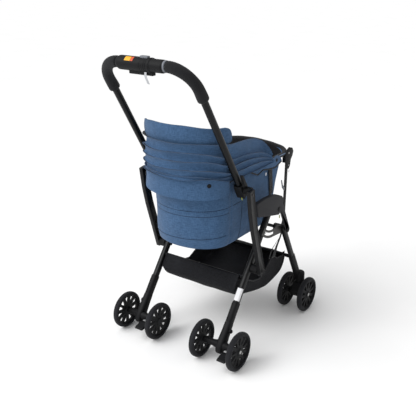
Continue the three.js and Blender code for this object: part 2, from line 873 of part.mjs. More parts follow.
function casing() {
  const [y, z] = HANDLE_TOP;
  const body = turned(
    [
      [-CASING_HALF, 17],
      [-CASING_HALF + 8, CASING_R],
      [CASING_HALF - 8, CASING_R],
      [CASING_HALF, 17],
    ],
    HANDLE_TOP,
    16,
  );
  const leverPocket = box(
    [-LEVER_HALF - 1, LEVER_HALF + 1],
    [y - LEVER_DEEP - 1, y + LEVER_DEEP + 1],
    [z - 30, z + LEVER_Z[1] + LEVER_TRAVEL + 1],
  );
  const buttonPocket = box(
    [BUTTON_X[0] - 1, BUTTON_X[1] + BUTTON_TRAVEL + 1],
    [y - BUTTON_DEEP - 1, y + BUTTON_DEEP + 1],
    [z + BUTTON_Z[0] - 1, z + BUTTON_Z[1] + 5],
  );
  return cut(body, leverPocket, buttonPocket);
}
add("release_casing", casing(), MAT.plastic);

function releaseKey(xs, deep, [down, up]) {
  const [y, z] = HANDLE_TOP;
  return box(xs, [y - deep, y + deep], [z + down, z + up]);
}
add("release_lever", releaseKey([-LEVER_HALF, LEVER_HALF], LEVER_DEEP, LEVER_Z), MAT.plastic);
add("lock_button", releaseKey(BUTTON_X, BUTTON_DEEP, BUTTON_Z), MAT.plastic);

export default stroller;
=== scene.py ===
"""Pet stroller: the looks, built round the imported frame. Metres, +Z up, +Y forward, +X to its right."""
import json
import math

import bmesh
import bpy
from mathutils import Matrix, Vector, noise

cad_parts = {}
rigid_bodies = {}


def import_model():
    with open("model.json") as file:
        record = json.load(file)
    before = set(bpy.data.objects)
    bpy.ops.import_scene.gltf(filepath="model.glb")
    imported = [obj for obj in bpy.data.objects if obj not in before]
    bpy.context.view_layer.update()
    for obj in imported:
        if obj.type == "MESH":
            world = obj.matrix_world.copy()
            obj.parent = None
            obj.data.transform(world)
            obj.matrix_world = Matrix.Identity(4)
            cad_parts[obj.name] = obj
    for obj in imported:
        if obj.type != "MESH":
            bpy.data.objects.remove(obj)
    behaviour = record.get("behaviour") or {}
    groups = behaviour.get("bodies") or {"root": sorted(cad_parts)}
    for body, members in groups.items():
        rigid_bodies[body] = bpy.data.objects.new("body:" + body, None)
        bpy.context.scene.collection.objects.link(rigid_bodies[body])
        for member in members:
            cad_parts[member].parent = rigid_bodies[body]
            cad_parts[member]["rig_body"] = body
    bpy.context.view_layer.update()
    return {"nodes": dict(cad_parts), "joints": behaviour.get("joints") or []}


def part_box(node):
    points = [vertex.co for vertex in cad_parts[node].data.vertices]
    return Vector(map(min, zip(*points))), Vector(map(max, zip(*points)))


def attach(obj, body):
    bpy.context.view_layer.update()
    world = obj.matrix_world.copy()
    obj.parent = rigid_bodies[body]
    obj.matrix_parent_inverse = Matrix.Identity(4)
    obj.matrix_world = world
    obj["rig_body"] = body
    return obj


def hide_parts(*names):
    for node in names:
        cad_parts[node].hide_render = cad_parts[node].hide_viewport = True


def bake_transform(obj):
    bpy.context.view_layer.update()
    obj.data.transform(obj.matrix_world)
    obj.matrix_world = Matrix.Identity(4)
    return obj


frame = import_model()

HANDS = {"r": 1, "l": -1}
JOINTS = {joint["name"]: joint for joint in frame["joints"]}
UP = Vector((0, 0, 1))
RIGHT = Vector((1, 0, 0))
FORWARD = Vector((0, 1, 0))


# ---- places taken from the frame ----
def low(node):
    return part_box(node)[0]


def high(node):
    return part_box(node)[1]


def middle(node):
    lo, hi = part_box(node)
    return (lo + hi) / 2


def pivot(joint):
    return Vector(JOINTS[joint]["pos_m"])


FOLD_PIVOT = pivot("fold")
FRONT_PIVOT = pivot("front_leg_fold")
HANDLE_PIVOT = pivot("handle_swing")
HANDLE_TOP = Vector((0, middle("release_casing").y, middle("release_casing").z))
TUBE_R = 0.0115


# ---- meshes ----
def linked(name, mesh):
    piece = bpy.data.objects.new(name, mesh)
    bpy.context.scene.collection.objects.link(piece)
    return piece


def finished(mesh, crease=None):
    """Faces that point out and are smooth, with sharp edges only past the crease angle."""
    bm = bmesh.new()
    bm.from_mesh(mesh)
    bmesh.ops.recalc_face_normals(bm, faces=bm.faces)
    bm.to_mesh(mesh)
    bm.free()
    mesh.polygons.foreach_set("use_smooth", [True] * len(mesh.polygons))
    if crease:
        mesh.set_sharp_from_angle(angle=math.radians(crease))
    mesh.update()


def skin(name, loops, materials, ring=False, paint=None, crease=None):
    """A closed surface through loops of equal count, capped at its ends or joined into a ring."""
    count = len(loops[0])
    points = [tuple(p) for loop in loops for p in loop]
    faces = []
    tones = []
    spans = len(loops) if ring else len(loops) - 1
    for i in range(spans):
        a = i * count
        b = ((i + 1) % len(loops)) * count
        for j in range(count):
            k = (j + 1) % count
            faces.append((a + j, a + k, b + k, b + j))
            tones.append(paint(i, j) if paint else 0)
    if not ring:
        faces.append(tuple(range(count)))
        faces.append(tuple(range(len(points) - count, len(points))))
        tones += [tones[0], tones[-1]]
    mesh = bpy.data.meshes.new(name)
    mesh.from_pydata(points, [], faces)
    for material in materials:
        mesh.materials.append(material)
    mesh.polygons.foreach_set("material_index", tones)
    finished(mesh, crease)
    return linked(name, mesh)


def circle(centre, side, other, radius, sides):
    turns = [2 * math.pi * j / sides for j in range(sides)]
    return [centre + (side * math.cos(turn) + other * math.sin(turn)) * radius for turn in turns]


def turned(name, profile, origin, axis, material, sides=32):
    """A profile of (distance along the axis, radius) turned about that axis."""
    axis = Vector(axis).normalized()
    side = axis.orthogonal().normalized()
    other = axis.cross(side)
    loops = [circle(Vector(origin) + axis * along, side, other, radius, sides) for along, radius in profile]
    return skin(name, loops, [material], crease=30)


def running_lengths(line):
    """How far along a line each of its points is."""
    lengths = [0.0]
    for a, b in zip(line, line[1:]):
        lengths.append(lengths[-1] + (b - a).length)
    return lengths


def smooth(a, b, value):
    t = min(1.0, max(0.0, (value - a) / (b - a)))
    return t * t * (3 - 2 * t)


def round_in(edge, reach):
    """From 0 at an edge to 1 at a reach from it, as a quarter circle rises."""
    return math.sqrt(max(0.0, 1 - (1 - min(1.0, edge / reach)) ** 2))


def corner_cut(edge, radius):
    """How much a rounded corner takes off at a distance from the piece's end."""
    return radius - math.sqrt(max(0.0, radius ** 2 - max(0.0, radius - edge) ** 2))


def steady_frames(line):
    """The tangent and two steady normals at each point of a line."""
    last = len(line) - 1
    tangents = [(line[min(i + 1, last)] - line[max(i - 1, 0)]).normalized() for i in range(last + 1)]
    side = tangents[0].orthogonal().normalized()
    frames = []
    for tangent in tangents:
        side = (side - tangent * side.dot(tangent)).normalized()
        frames.append((tangent, side, tangent.cross(side)))
    return frames


def round_tube(name, line, radius, material, sides=24, round_end=0.0):
    """A round tube along a line; radius is a number or a function of the distance along it."""
    lengths = running_lengths(line)
    total = lengths[-1]
    if round_end:
        line, lengths = with_end_points(line, lengths, round_end)
    loops = []
    for point, at, (_, side, other) in zip(line, lengths, steady_frames(line)):
        r = radius(at) if callable(radius) else radius
        edge = min(at, total - at)
        if round_end and edge < round_end:
            r *= 0.35 + 0.65 * round_in(edge, round_end)
        loops.append(circle(point, side, other, r, sides))
    return skin(name, loops, [material], crease=40)


def with_end_points(line, lengths, reach, steps=5):
    """The line with extra points near both ends, where a tube rounds off."""
    total = lengths[-1]
    wanted = [reach * (1 - math.cos(math.pi / 2 * i / steps)) for i in range(1, steps + 1)]
    marks = sorted(set(
        [at for at in lengths if reach < at < total - reach]
        + [0.0, total] + wanted + [total - w for w in wanted]
    ))
    return [point_at(line, lengths, at) for at in marks], marks


def point_at(line, lengths, at):
    for i in range(len(line) - 1):
        if at <= lengths[i + 1] or i == len(line) - 2:
            span = lengths[i + 1] - lengths[i]
            return line[i].lerp(line[i + 1], (at - lengths[i]) / span if span else 0)


def curved(points, steps=8):
    """A smooth line through given points."""
    ends = [points[0] * 2 - points[1], *points, points[-1] * 2 - points[-2]]
    line = []
    for a, b, c, d in zip(ends, ends[1:], ends[2:], ends[3:]):
        for i in range(steps):
            t = i / steps
            line.append(
                0.5 * (2 * b + (c - a) * t + (2 * a - 5 * b + 4 * c - d) * t * t
                       + (3 * b - a - 3 * c + d) * t ** 3)
            )
    return [*line, points[-1].copy()]


def superellipse(a, b, power, turn):
    c, s = math.cos(turn), math.sin(turn)
    return a * math.copysign(abs(c) ** (2 / power), c), b * math.copysign(abs(s) ** (2 / power), s)


def rounded_section(a, b, power, count=28):
    """A rounded rectangle of half widths a and b, as offsets."""
    return [superellipse(a, b, power, 2 * math.pi * j / count) for j in range(count)]


TUBE_POWER = 3.2  # how square the oval leg tubes are


def side_bar(name, stations, direction, material, power=TUBE_POWER):
    """A bar in the stroller's side view; a station is (centre, half width along x, half depth)."""
    normal = direction.cross(RIGHT).normalized()
    loops = [
        [centre + RIGHT * u + normal * v for u, v in rounded_section(a, b, power)]
        for centre, a, b in stations
    ]
    return skin(name, loops, [material], crease=50)


def as_modelled(node, name):
    """An editable copy of a CAD node's mesh, with its flat faces made whole."""
    mesh = bpy.data.meshes.new(name)
    bm = bmesh.new()
    bm.from_mesh(frame["nodes"][node].data)
    bmesh.ops.remove_doubles(bm, verts=bm.verts, dist=1e-5)
    bmesh.ops.dissolve_limit(bm, angle_limit=math.radians(1), verts=bm.verts, edges=bm.edges)
    bm.to_mesh(mesh)
    bm.free()
    return mesh


def applied(piece, crease=None):
    """The piece with its modifiers made part of its mesh."""
    depsgraph = bpy.context.evaluated_depsgraph_get()
    mesh = bpy.data.meshes.new_from_object(piece.evaluated_get(depsgraph))
    piece.modifiers.clear()
    piece.data = mesh
    finished(mesh, crease)
    return piece


def edged(node, width, material, panel=None, segments=3):
    """A CAD node with rounded edges; panel = (margin, depth) sets its outer side face in or out."""
    name = node + "_finished"
    mesh = as_modelled(node, name)
    mesh.materials.clear()
    mesh.materials.append(material)
    if panel:
        side = 1 if middle(node).x > 0 else -1
        reach = high(node).x if side > 0 else low(node).x
        bm = bmesh.new()
        bm.from_mesh(mesh)
        bm.normal_update()
        outer = [
            f for f in bm.faces
            if f.normal.x * side > 0.99 and abs(f.calc_center_median().x - reach) < 0.0006
        ]
        bmesh.ops.inset_region(bm, faces=outer, thickness=panel[0], depth=panel[1], use_even_offset=True)
        bm.to_mesh(mesh)
        bm.free()
    piece = linked(name, mesh)
    bevel = piece.modifiers.new("edges", "BEVEL")
    bevel.width = width
    bevel.segments = segments
    bevel.limit_method = "ANGLE"
    bevel.angle_limit = math.radians(32)
    return stand_in(applied(piece, 40), node)


def moulded(node, voxel, rounds, material):
    """A CAD node with its edges melted round, as an injection-moulded part has them."""
    piece = linked(node + "_moulded", as_modelled(node, node + "_moulded"))
    piece.data.materials.clear()
    piece.data.materials.append(material)
    grid = piece.modifiers.new("grid", "REMESH")
    grid.mode = "VOXEL"
    grid.voxel_size = voxel
    melt = piece.modifiers.new("melt", "SMOOTH")
    melt.factor = 0.5
    melt.iterations = rounds
    piece = applied(piece)
    if not piece.data.materials:
        piece.data.materials.append(material)
    return stand_in(piece, node)


def stand_in(piece, node):
    """The piece takes the place of a CAD node, on its body."""
    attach(piece, frame["nodes"][node]["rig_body"])
    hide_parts(node)
    return piece


def riding(piece, body):
    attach(piece, body)
    return piece


def fitting(name, profile, place, axis, finish, sides, body):
    """A small turned piece on a body."""
    return riding(turned(name, profile, place, axis, M[finish], sides), body)


def plate(name, side, outline, x_from, x_to, finish, bevel, body="seat"):
    """A plate with a rounded edge: a side-view outline of (y, z) between two distances from the middle."""
    mesh = bpy.data.meshes.new(name)
    count = len(outline)
    points = [(side * x, y, z) for x in (x_from, x_to) for y, z in outline]
    faces = [(i, (i + 1) % count, count + (i + 1) % count, count + i) for i in range(count)]
    faces += [tuple(range(count)), tuple(range(count, 2 * count))]
    mesh.from_pydata(points, [], faces)
    mesh.materials.append(M[finish])
    finished(mesh)
    piece = linked(name, mesh)
    edge = piece.modifiers.new("edges", "BEVEL")
    edge.width = bevel
    edge.segments = 3
    edge.limit_method = "ANGLE"
    edge.angle_limit = math.radians(25)
    return riding(applied(piece, 40), body)


def tape(name, side, places, steps, wide, thick, across=FORWARD):
    """A flat strap on the seat frame, curved through places, its width along the given direction."""
    line = curved([Vector((side * x, y, z)) for x, y, z in places], steps)
    loops = []
    for i, p in enumerate(line):
        tangent = (line[min(i + 1, len(line) - 1)] - line[max(i - 1, 0)]).normalized()
        edgeward = (across - tangent * across.dot(tangent)).normalized()
        lift = tangent.cross(edgeward)
        w = wide(i / (len(line) - 1)) if callable(wide) else wide
        loops.append([p + edgeward * u + lift * v for u, v in rounded_section(w / 2, thick / 2, 6, 20)])
    return riding(skin(name, loops, [M["binding"]], crease=60), "seat")


# ---- materials ----
class Graph:
    """A material's node tree, with short ways to add nodes."""

    def __init__(self, name, settings):
        self.material = bpy.data.materials.new(name)
        self.material.use_nodes = True
        self.tree = self.material.node_tree
        self.shader = self.tree.nodes["Principled BSDF"]
        for socket, value in settings.items():
            self.shader.inputs[socket].default_value = value
        self.place = self.tree.nodes.new("ShaderNodeTexCoord").outputs["Object"]

    def join(self, output, node, socket):
        self.tree.links.new(output, node.inputs[socket])

    def grain(self, scale, stretch=(1, 1, 1), detail=2.0, roughness=0.5):
        mapping = self.tree.nodes.new("ShaderNodeMapping")
        mapping.inputs["Scale"].default_value = stretch
        texture = self.tree.nodes.new("ShaderNodeTexNoise")
        texture.inputs["Scale"].default_value = scale
        texture.inputs["Detail"].default_value = detail
        texture.inputs["Roughness"].default_value = roughness
        self.join(self.place, mapping, "Vector")
        self.join(mapping.outputs["Vector"], texture, "Vector")
        return texture.outputs["Fac"]

    def cells(self, scale):
        mapping = self.tree.nodes.new("ShaderNodeMapping")
        texture = self.tree.nodes.new("ShaderNodeTexVoronoi")
        texture.inputs["Scale"].default_value = scale
        self.join(self.place, mapping, "Vector")
        self.join(mapping.outputs["Vector"], texture, "Vector")
        return texture.outputs["Distance"]

    def ribs(self, scale):
        texture = self.tree.nodes.new("ShaderNodeTexWave")
        texture.bands_direction = "Z"
        texture.inputs["Scale"].default_value = scale
        self.join(self.place, texture, "Vector")
        return texture.outputs["Fac"]

    def math(self, operation, a, b):
        node = self.tree.nodes.new("ShaderNodeMath")
        node.operation = operation
        for socket, value in enumerate((a, b)):
            if isinstance(value, (int, float)):
                node.inputs[socket].default_value = value
            else:
                self.join(value, node, socket)
        return node.outputs["Value"]

    def ramp(self, value, stops):
        node = self.tree.nodes.new("ShaderNodeValToRGB")
        elements = node.color_ramp.elements
        while len(elements) < len(stops):
            elements.new(0.5)
        for element, (at, colour) in zip(elements, stops):
            element.position = at
            element.color = (*colour, 1)
        self.join(value, node, "Fac")
        return node.outputs["Color"]

    def tint(self, colour, value, amount):
        """Colour made lighter and darker by a value around one half."""
        mix = self.tree.nodes.new("ShaderNodeHueSaturation")
        self.join(colour, mix, "Color")
        gain = self.math("MULTIPLY_ADD", value, 2 * amount)
        gain.node.inputs[2].default_value = 1 - amount
        self.join(gain, mix, "Value")
        return mix.outputs["Color"]

    def colour(self, output):
        self.join(output, self.shader, "Base Color")

    def rough(self, value, lowest, highest):
        spread = self.math("MULTIPLY_ADD", value, highest - lowest)
        spread.node.inputs[2].default_value = lowest
        self.join(spread, self.shader, "Roughness")

    def bump(self, height, distance, strength=1.0):
        node = self.tree.nodes.new("ShaderNodeBump")
        node.inputs["Strength"].default_value = strength
        node.inputs["Distance"].default_value = distance
        self.join(height, node, "Height")
        self.join(node.outputs["Normal"], self.shader, "Normal")
        return self.material


def scaled(colour, factor):
    return tuple(factor * c for c in colour)


def denim(name, dark, light):
    """Heathered weave: streaks of lighter and darker yarn both ways over a fine thread."""
    g = Graph(name, {"Roughness": 0.88, "Sheen Weight": 0.12, "Sheen Roughness": 0.5,
                     "Specular IOR Level": 0.25})
    weft = g.grain(1, (70, 70, 900), 3.0)
    warp = g.grain(1, (800, 800, 80), 3.0)
    yarn = g.math("ADD", g.math("MULTIPLY", weft, 0.55), g.math("MULTIPLY", warp, 0.45))
    colour = g.ramp(yarn, [(0.36, dark), (0.64, light)])
    g.colour(g.tint(colour, g.grain(16, detail=3.0), 0.18))
    thread = g.math("ADD", g.grain(1, (300, 300, 1700)), g.grain(1, (1700, 1700, 300)))
    return g.bump(thread, 0.0004, 0.6)


def open_mesh(name, dark, light):
    """Black knitted mesh: small dark holes in a slightly lighter net."""
    g = Graph(name, {"Roughness": 0.9, "Sheen Weight": 0.04, "Sheen Roughness": 0.5,
                     "Specular IOR Level": 0.12})
    holes = g.cells(420)
    g.colour(g.tint(g.ramp(holes, [(0.2, dark), (0.62, light)]), g.grain(14, detail=2.0), 0.3))
    return g.bump(holes, 0.0005, 0.8)


def plastic(name, colour, gloss, grain=0.00006):
    """Moulded plastic: a fine spark-eroded texture with slightly uneven gloss."""
    g = Graph(name, {"Specular IOR Level": 0.18})
    fine = g.grain(1600, detail=2.0)
    worn = g.grain(30, detail=4.0, roughness=0.6)
    g.colour(g.ramp(worn, [(0.3, scaled(colour, 0.8)), (0.7, scaled(colour, 1.25))]))
    g.rough(worn, gloss - 0.08, gloss + 0.1)
    return g.bump(fine, grain, 0.5)


def powder_coat(name, colour):
    """Satin black paint on drawn tube, with a faint orange peel."""
    g = Graph(name, {"Specular IOR Level": 0.20})
    peel = g.grain(900, detail=1.0)
    drawn = g.grain(1, (90, 14, 14), 4.0)
    g.colour(g.ramp(drawn, [(0.3, scaled(colour, 0.8)), (0.7, scaled(colour, 1.3))]))
    g.rough(drawn, 0.28, 0.46)
    return g.bump(peel, 0.00008, 0.5)


def zinc(name, colour, gloss=0.34):
    """Zinc-plated steel, clouded and lightly scratched."""
    g = Graph(name, {"Metallic": 1.0})
    cloud = g.grain(160, detail=5.0, roughness=0.65)
    g.colour(g.ramp(cloud, [(0.3, scaled(colour, 0.7)), (0.7, colour)]))
    g.rough(cloud, gloss - 0.08, gloss + 0.16)
    return g.bump(g.grain(1, (60, 1500, 1500), 2.0), 0.00003, 0.5)


def foam(name, colour, pore):
    """Closed-cell foam or tyre compound: matt, with fine pores."""
    g = Graph(name, {"Roughness": 0.93, "Specular IOR Level": 0.18, "Sheen Weight": 0.05,
                     "Sheen Roughness": 0.6})
    cells = g.cells(pore)
    soft = g.grain(22, detail=4.0, roughness=0.6)
    g.colour(g.ramp(soft, [(0.3, scaled(colour, 0.75)), (0.7, scaled(colour, 1.3))]))
    return g.bump(cells, 0.0003, 0.55)


def webbing(name, colour):
    """Woven tape with fine ribs."""
    g = Graph(name, {"Roughness": 0.8, "Specular IOR Level": 0.25, "Sheen Weight": 0.12})
    ribs = g.ribs(420)
    g.colour(g.ramp(ribs, [(0.1, scaled(colour, 0.6)), (0.9, scaled(colour, 1.5))]))
    return g.bump(ribs, 0.0003, 0.7)


def plain_print(name, colour, gloss=0.5):
    """A small paper or vinyl piece, slightly uneven."""
    g = Graph(name, {"Specular IOR Level": 0.4})
    fibre = g.grain(300, detail=4.0)
    g.colour(g.ramp(fibre, [(0.25, scaled(colour, 0.86)), (0.75, colour)]))
    g.rough(fibre, gloss - 0.1, gloss + 0.15)
    return g.bump(fibre, 0.00005, 0.4)


FINISHES = {
    "denim": (denim, (0.023, 0.060, 0.128), (0.056, 0.122, 0.238)),
    "denim_pale": (denim, (0.070, 0.120, 0.200), (0.170, 0.240, 0.360)),
    # Painted shade: a near-black denim laid along the seams and stitch grooves, where shadow falls in them.
    "denim_seam": (denim, (0.007, 0.016, 0.034), (0.015, 0.034, 0.068)),
    # Painted shade: an almost black denim laid along the hood's fold lines, where the creases fall in
    # shadow.
    "denim_crease": (denim, (0.0015, 0.003, 0.007), (0.005, 0.012, 0.026)),
    "mesh": (open_mesh, (0.003, 0.003, 0.0035), (0.015, 0.0155, 0.018)),
    "lining": (open_mesh, (0.004, 0.004, 0.0045), (0.012, 0.0125, 0.014)),
    "binding": (webbing, (0.009, 0.0095, 0.011)),
    "tube": (powder_coat, (0.0026, 0.0029, 0.0036)),
    "plastic": (plastic, (0.0045, 0.0047, 0.0055), 0.58),
    "cover": (plastic, (0.0150, 0.0152, 0.0178), 0.55),
    "cap": (plastic, (0.150, 0.160, 0.180), 0.4),
    "steel": (zinc, (0.56, 0.56, 0.55)),
    "dark_steel": (zinc, (0.085, 0.082, 0.080), 0.42),
    "grip": (foam, (0.0110, 0.0115, 0.0130), 900),
    "tyre": (foam, (0.0125, 0.0130, 0.0155), 1300),
    "rim": (plastic, (0.0055, 0.0058, 0.0066), 0.55),
    "board": (open_mesh, (0.012, 0.013, 0.015), (0.035, 0.037, 0.042)),
    "label": (plain_print, (0.78, 0.78, 0.80)),
    "mark": (plain_print, (0.50, 0.56, 0.05)),
    "amber": (plain_print, (0.85, 0.42, 0.02)),
    "red": (plain_print, (0.62, 0.09, 0.03)),
    "tag": (plain_print, (0.40, 0.41, 0.43), 0.35),
}
M = {name: build(name, *settings) for name, (build, *settings) in FINISHES.items()}


# ---- wheels ----
WHEEL_R = (high("rear_wheel_r_outer").z - low("rear_wheel_r_outer").z) / 2
WHEEL_HALF = (high("rear_wheel_r_outer").x - low("rear_wheel_r_outer").x) / 2
WINDOWS = 11


def filleted(corners, radius, steps=4):
    """A closed outline with its corners rounded."""
    outline = []
    count = len(corners)
    for i, corner in enumerate(corners):
        to_prev = (corners[i - 1] - corner).normalized()
        to_next = (corners[(i + 1) % count] - corner).normalized()
        for j in range(steps + 1):
            t = j / steps
            start, end = corner + to_prev * radius, corner + to_next * radius
            outline.append((1 - t) ** 2 * start + 2 * t * (1 - t) * corner + t * t * end)
    return outline


def rim_disc():
    """The spoked disc, cut out flat and given thickness with rounded edges, its axis along x."""
    inner, outer, spoke = 0.0245, 0.0548, 0.0041
    flat = bpy.data.curves.new("rim_outline", "CURVE")
    flat.dimensions = "2D"
    flat.fill_mode = "BOTH"
    flat.extrude = 0.0036
    flat.bevel_depth = 0.0011
    flat.bevel_resolution = 2
    around = [
        Vector((0.0580 * math.cos(a), 0.0580 * math.sin(a)))
        for a in (2 * math.pi * i / 72 for i in range(72))
    ]
    outlines = [around]
    for k in range(WINDOWS):
        mid = 2 * math.pi * (k + 0.5) / WINDOWS
        half = math.pi / WINDOWS

        def at(r, sign):
            turn = mid + sign * (half - spoke / r)
            return Vector((r * math.cos(turn), r * math.sin(turn)))

        corners = [at(inner, -1), at(outer - 0.004, -1), at(outer - 0.004, 1), at(inner, 1)]
        corners.insert(2, Vector((outer * math.cos(mid), outer * math.sin(mid))))
        outlines.append(filleted(corners, 0.0016))
    for outline in outlines:
        spline = flat.splines.new("POLY")
        spline.points.add(len(outline) - 1)
        for point, p in zip(spline.points, outline):
            point.co = (p.x, p.y, 0, 1)
        spline.use_cyclic_u = True
    holder = linked("rim_outline", flat)
    mesh = bpy.data.meshes.new_from_object(holder.evaluated_get(bpy.context.evaluated_depsgraph_get()))
    bpy.data.objects.remove(holder)
    mesh.transform(Matrix.Rotation(math.pi / 2, 4, "Y"))
    return mesh


def ring_profile(points, sides=64):
    """A closed (x, radius) profile turned about the x axis."""
    return [
        [
            Vector((x, r * math.cos(2 * math.pi * i / sides), r * math.sin(2 * math.pi * i / sides)))
            for x, r in points
        ]
        for i in range(sides)
    ]


def wheel_meshes():
    w = WHEEL_HALF
    tread = [(0.0, WHEEL_R)]
    for deg in (15, 30, 45, 60, 75):
        turn = math.radians(deg)
        tread.append((w * math.sin(turn) ** 0.8 * 0.99, WHEEL_R - 0.0065 * (1 - math.cos(turn) ** 0.9)))
    wall = [(w, WHEEL_R - 0.0075), (w, WHEEL_R - 0.0098), (w - 0.0007, WHEEL_R - 0.0104),
            (w - 0.0007, WHEEL_R - 0.0112), (w - 0.0001, WHEEL_R - 0.0118), (w - 0.0010, 0.0572)]
    half = tread + wall
    profile = [(-x, r) for x, r in reversed(half[1:])] + half
    tyre = skin("tyre", ring_profile(profile), [M["tyre"]], ring=True, crease=50)
    ring = skin("ring", ring_profile([
        (-w + 0.002, 0.0578), (w - 0.002, 0.0578), (w - 0.0026, 0.0560), (0.0042, 0.0548),
        (-0.0042, 0.0548), (-w + 0.0026, 0.0560)]), [M["rim"]], ring=True, crease=40)
    hub = turned("hub", [
        (-w + 0.0006, 0.0075), (-w + 0.0004, 0.0120), (-w + 0.0012, 0.0132), (-0.0062, 0.0150),
        (-0.0052, 0.0215), (-0.0046, 0.0250), (0.0046, 0.0250), (0.0052, 0.0215), (0.0062, 0.0150),
        (w - 0.0012, 0.0132), (w - 0.0004, 0.0120), (w - 0.0006, 0.0075)], (0, 0, 0), RIGHT, M["rim"], 44)
    disc = linked("disc", rim_disc())
    disc.data.materials.clear()
    disc.data.materials.append(M["rim"])
    bm = bmesh.new()
    for part in (disc, ring, hub):
        bm.from_mesh(part.data)
    rim = bpy.data.meshes.new("rim")
    bm.to_mesh(rim)
    bm.free()
    rim.materials.append(M["rim"])
    finished(rim, 32)
    tyre_mesh = tyre.data
    for part in (disc, ring, hub, tyre):
        bpy.data.objects.remove(part)
    return tyre_mesh, rim


def place_wheels():
    tyre_mesh, rim_mesh = wheel_meshes()
    for end in ("rear", "front"):
        for hand, side in HANDS.items():
            body = f"{end}_wheels_{hand}"
            for which in ("inner", "outer"):
                node = f"{end}_wheel_{hand}_{which}"
                for kind, mesh in (("tyre", tyre_mesh), ("rim", rim_mesh)):
                    piece = linked(f"{node}_{kind}", mesh)
                    piece.location = middle(node)
                    riding(piece, body)
                    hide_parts(node)
            outer = middle(f"{end}_wheel_{hand}_outer")
            face = outer + RIGHT * side * (WHEEL_HALF - 0.0010)
            fitting(f"{end}_axle_cap_{hand}", [
                (0, 0.0062), (0.0008, 0.0062), (0.0013, 0.0050), (0.0013, 0.0040), (0.0009, 0.0036),
                (0.0009, 0.0010)], face, RIGHT * side, "steel", 24, body)


# ---- legs, housings and forks ----
def leg_line(start, end):
    direction = (end - start).normalized()
    return direction, (end - start).length


def screw(name, place, axis, radius, body, finish="steel"):
    fitting(name, [
        (-0.0005, radius), (0.0005, radius), (0.0012, radius * 0.8), (0.0014, radius * 0.48),
        (0.0005, radius * 0.40), (0.0005, radius * 0.1)], place, axis, finish, 20, body)


def rear_leg(hand, side):
    axle = pivot(f"rear_wheels_{hand}_spin")
    layer = side * (abs(low(f"rear_leg_{hand}").x if side > 0 else high(f"rear_leg_{hand}").x) + 0.011)
    start = Vector((layer, axle.y, axle.z))
    end = Vector((layer, FOLD_PIVOT.y, FOLD_PIVOT.z))
    direction, length = leg_line(start, end)
    at = lambda s: start + direction * s
    tube = side_bar(f"rear_leg_{hand}_tube", [
        (at(0.150), 0.0104, 0.0116), (at(length - 0.016), 0.0104, 0.0116),
        (at(length - 0.006), 0.0106, 0.0140), (at(length + 0.004), 0.0106, 0.0146),
        (at(length + 0.011), 0.0102, 0.0108), (at(length + 0.0146), 0.0090, 0.0050)],
        direction, M["tube"])
    stand_in(tube, f"rear_leg_{hand}")
    sleeve = side_bar(f"rear_leg_{hand}_sleeve", [
        (at(0.036), 0.0112, 0.0146), (at(0.037), 0.0122, 0.0154), (at(0.151), 0.0122, 0.0154),
        (at(0.1555), 0.0118, 0.0150), (at(0.158), 0.0106, 0.0134)], direction, M["plastic"])
    riding(sleeve, "rear_legs")
    normal = direction.cross(RIGHT).normalized()
    fitting(f"guide_pin_{hand}", [(0, 0.0040), (0.0085, 0.0040), (0.0090, 0.0034)],
            at(length - 0.0974) + RIGHT * side * 0.0075, RIGHT * side, "steel", 20, "rear_legs")
    if hand == "r":
        leg_sticker(at, direction, normal)


def rear_housing(hand, side):
    """The block where the leg's sleeve meets the axle, and its horns out to both wheels."""
    node = f"rear_housing_{hand}"
    lo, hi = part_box(node)
    axle = pivot(f"rear_wheels_{hand}_spin")
    centre = Vector((side * 0.184, axle.y, axle.z))
    direction, _ = leg_line(centre, Vector((centre.x, FOLD_PIVOT.y, FOLD_PIVOT.z)))
    at = lambda s: centre + direction * s
    block = side_bar(node + "_block", [
        (at(-0.0300), 0.0060, 0.0060), (at(-0.0270), 0.0110, 0.0115), (at(-0.0180), 0.0140, 0.0165),
        (at(-0.0040), 0.0156, 0.0200), (at(0.0120), 0.0158, 0.0205), (at(0.0300), 0.0150, 0.0190),
        (at(0.0520), 0.0140, 0.0172), (at(0.0780), 0.0134, 0.0166), (at(0.0840), 0.0126, 0.0158),
        (at(0.0850), 0.0110, 0.0140)], direction, M["plastic"], 2.8)
    stand_in(block, node)
    reach = (hi.x - lo.x) / 2
    middle_x = (lo.x + hi.x) / 2
    horns = fitting(node + "_horns", [
        (-reach, 0.0085), (-reach, 0.0105), (-reach + 0.003, 0.0114), (-0.026, 0.0118), (-0.012, 0.0150),
        (0.0, 0.0176), (0.013, 0.0176), (0.026, 0.0140), (0.040, 0.0118), (reach - 0.003, 0.0114),
        (reach, 0.0105), (reach, 0.0085)],
        Vector((middle_x, axle.y, axle.z)), RIGHT * side, "plastic", 36, "rear_legs")
    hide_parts(node)


def leg_sticker(at, direction, normal):
    """A blank paper label wrapped over the back of the right leg, just above its sleeve."""
    half, depth, lift = 0.0108, 0.0120, 0.0004
    loops = []
    for i in range(13):
        centre = at(0.162 + 0.046 * i / 12)
        arc = [superellipse(half, depth, TUBE_POWER, math.radians(-172 + 164 * j / 12)) for j in range(13)]
        outside = [centre + RIGHT * u * (1 + lift / half) + normal * v * (1 + lift / depth) for u, v in arc]
        inside = [centre + RIGHT * u * 0.985 + normal * v * 0.985 for u, v in reversed(arc)]
        loops.append(outside + inside)
    riding(skin("leg_label", loops, [M["label"]], crease=60), "rear_legs")


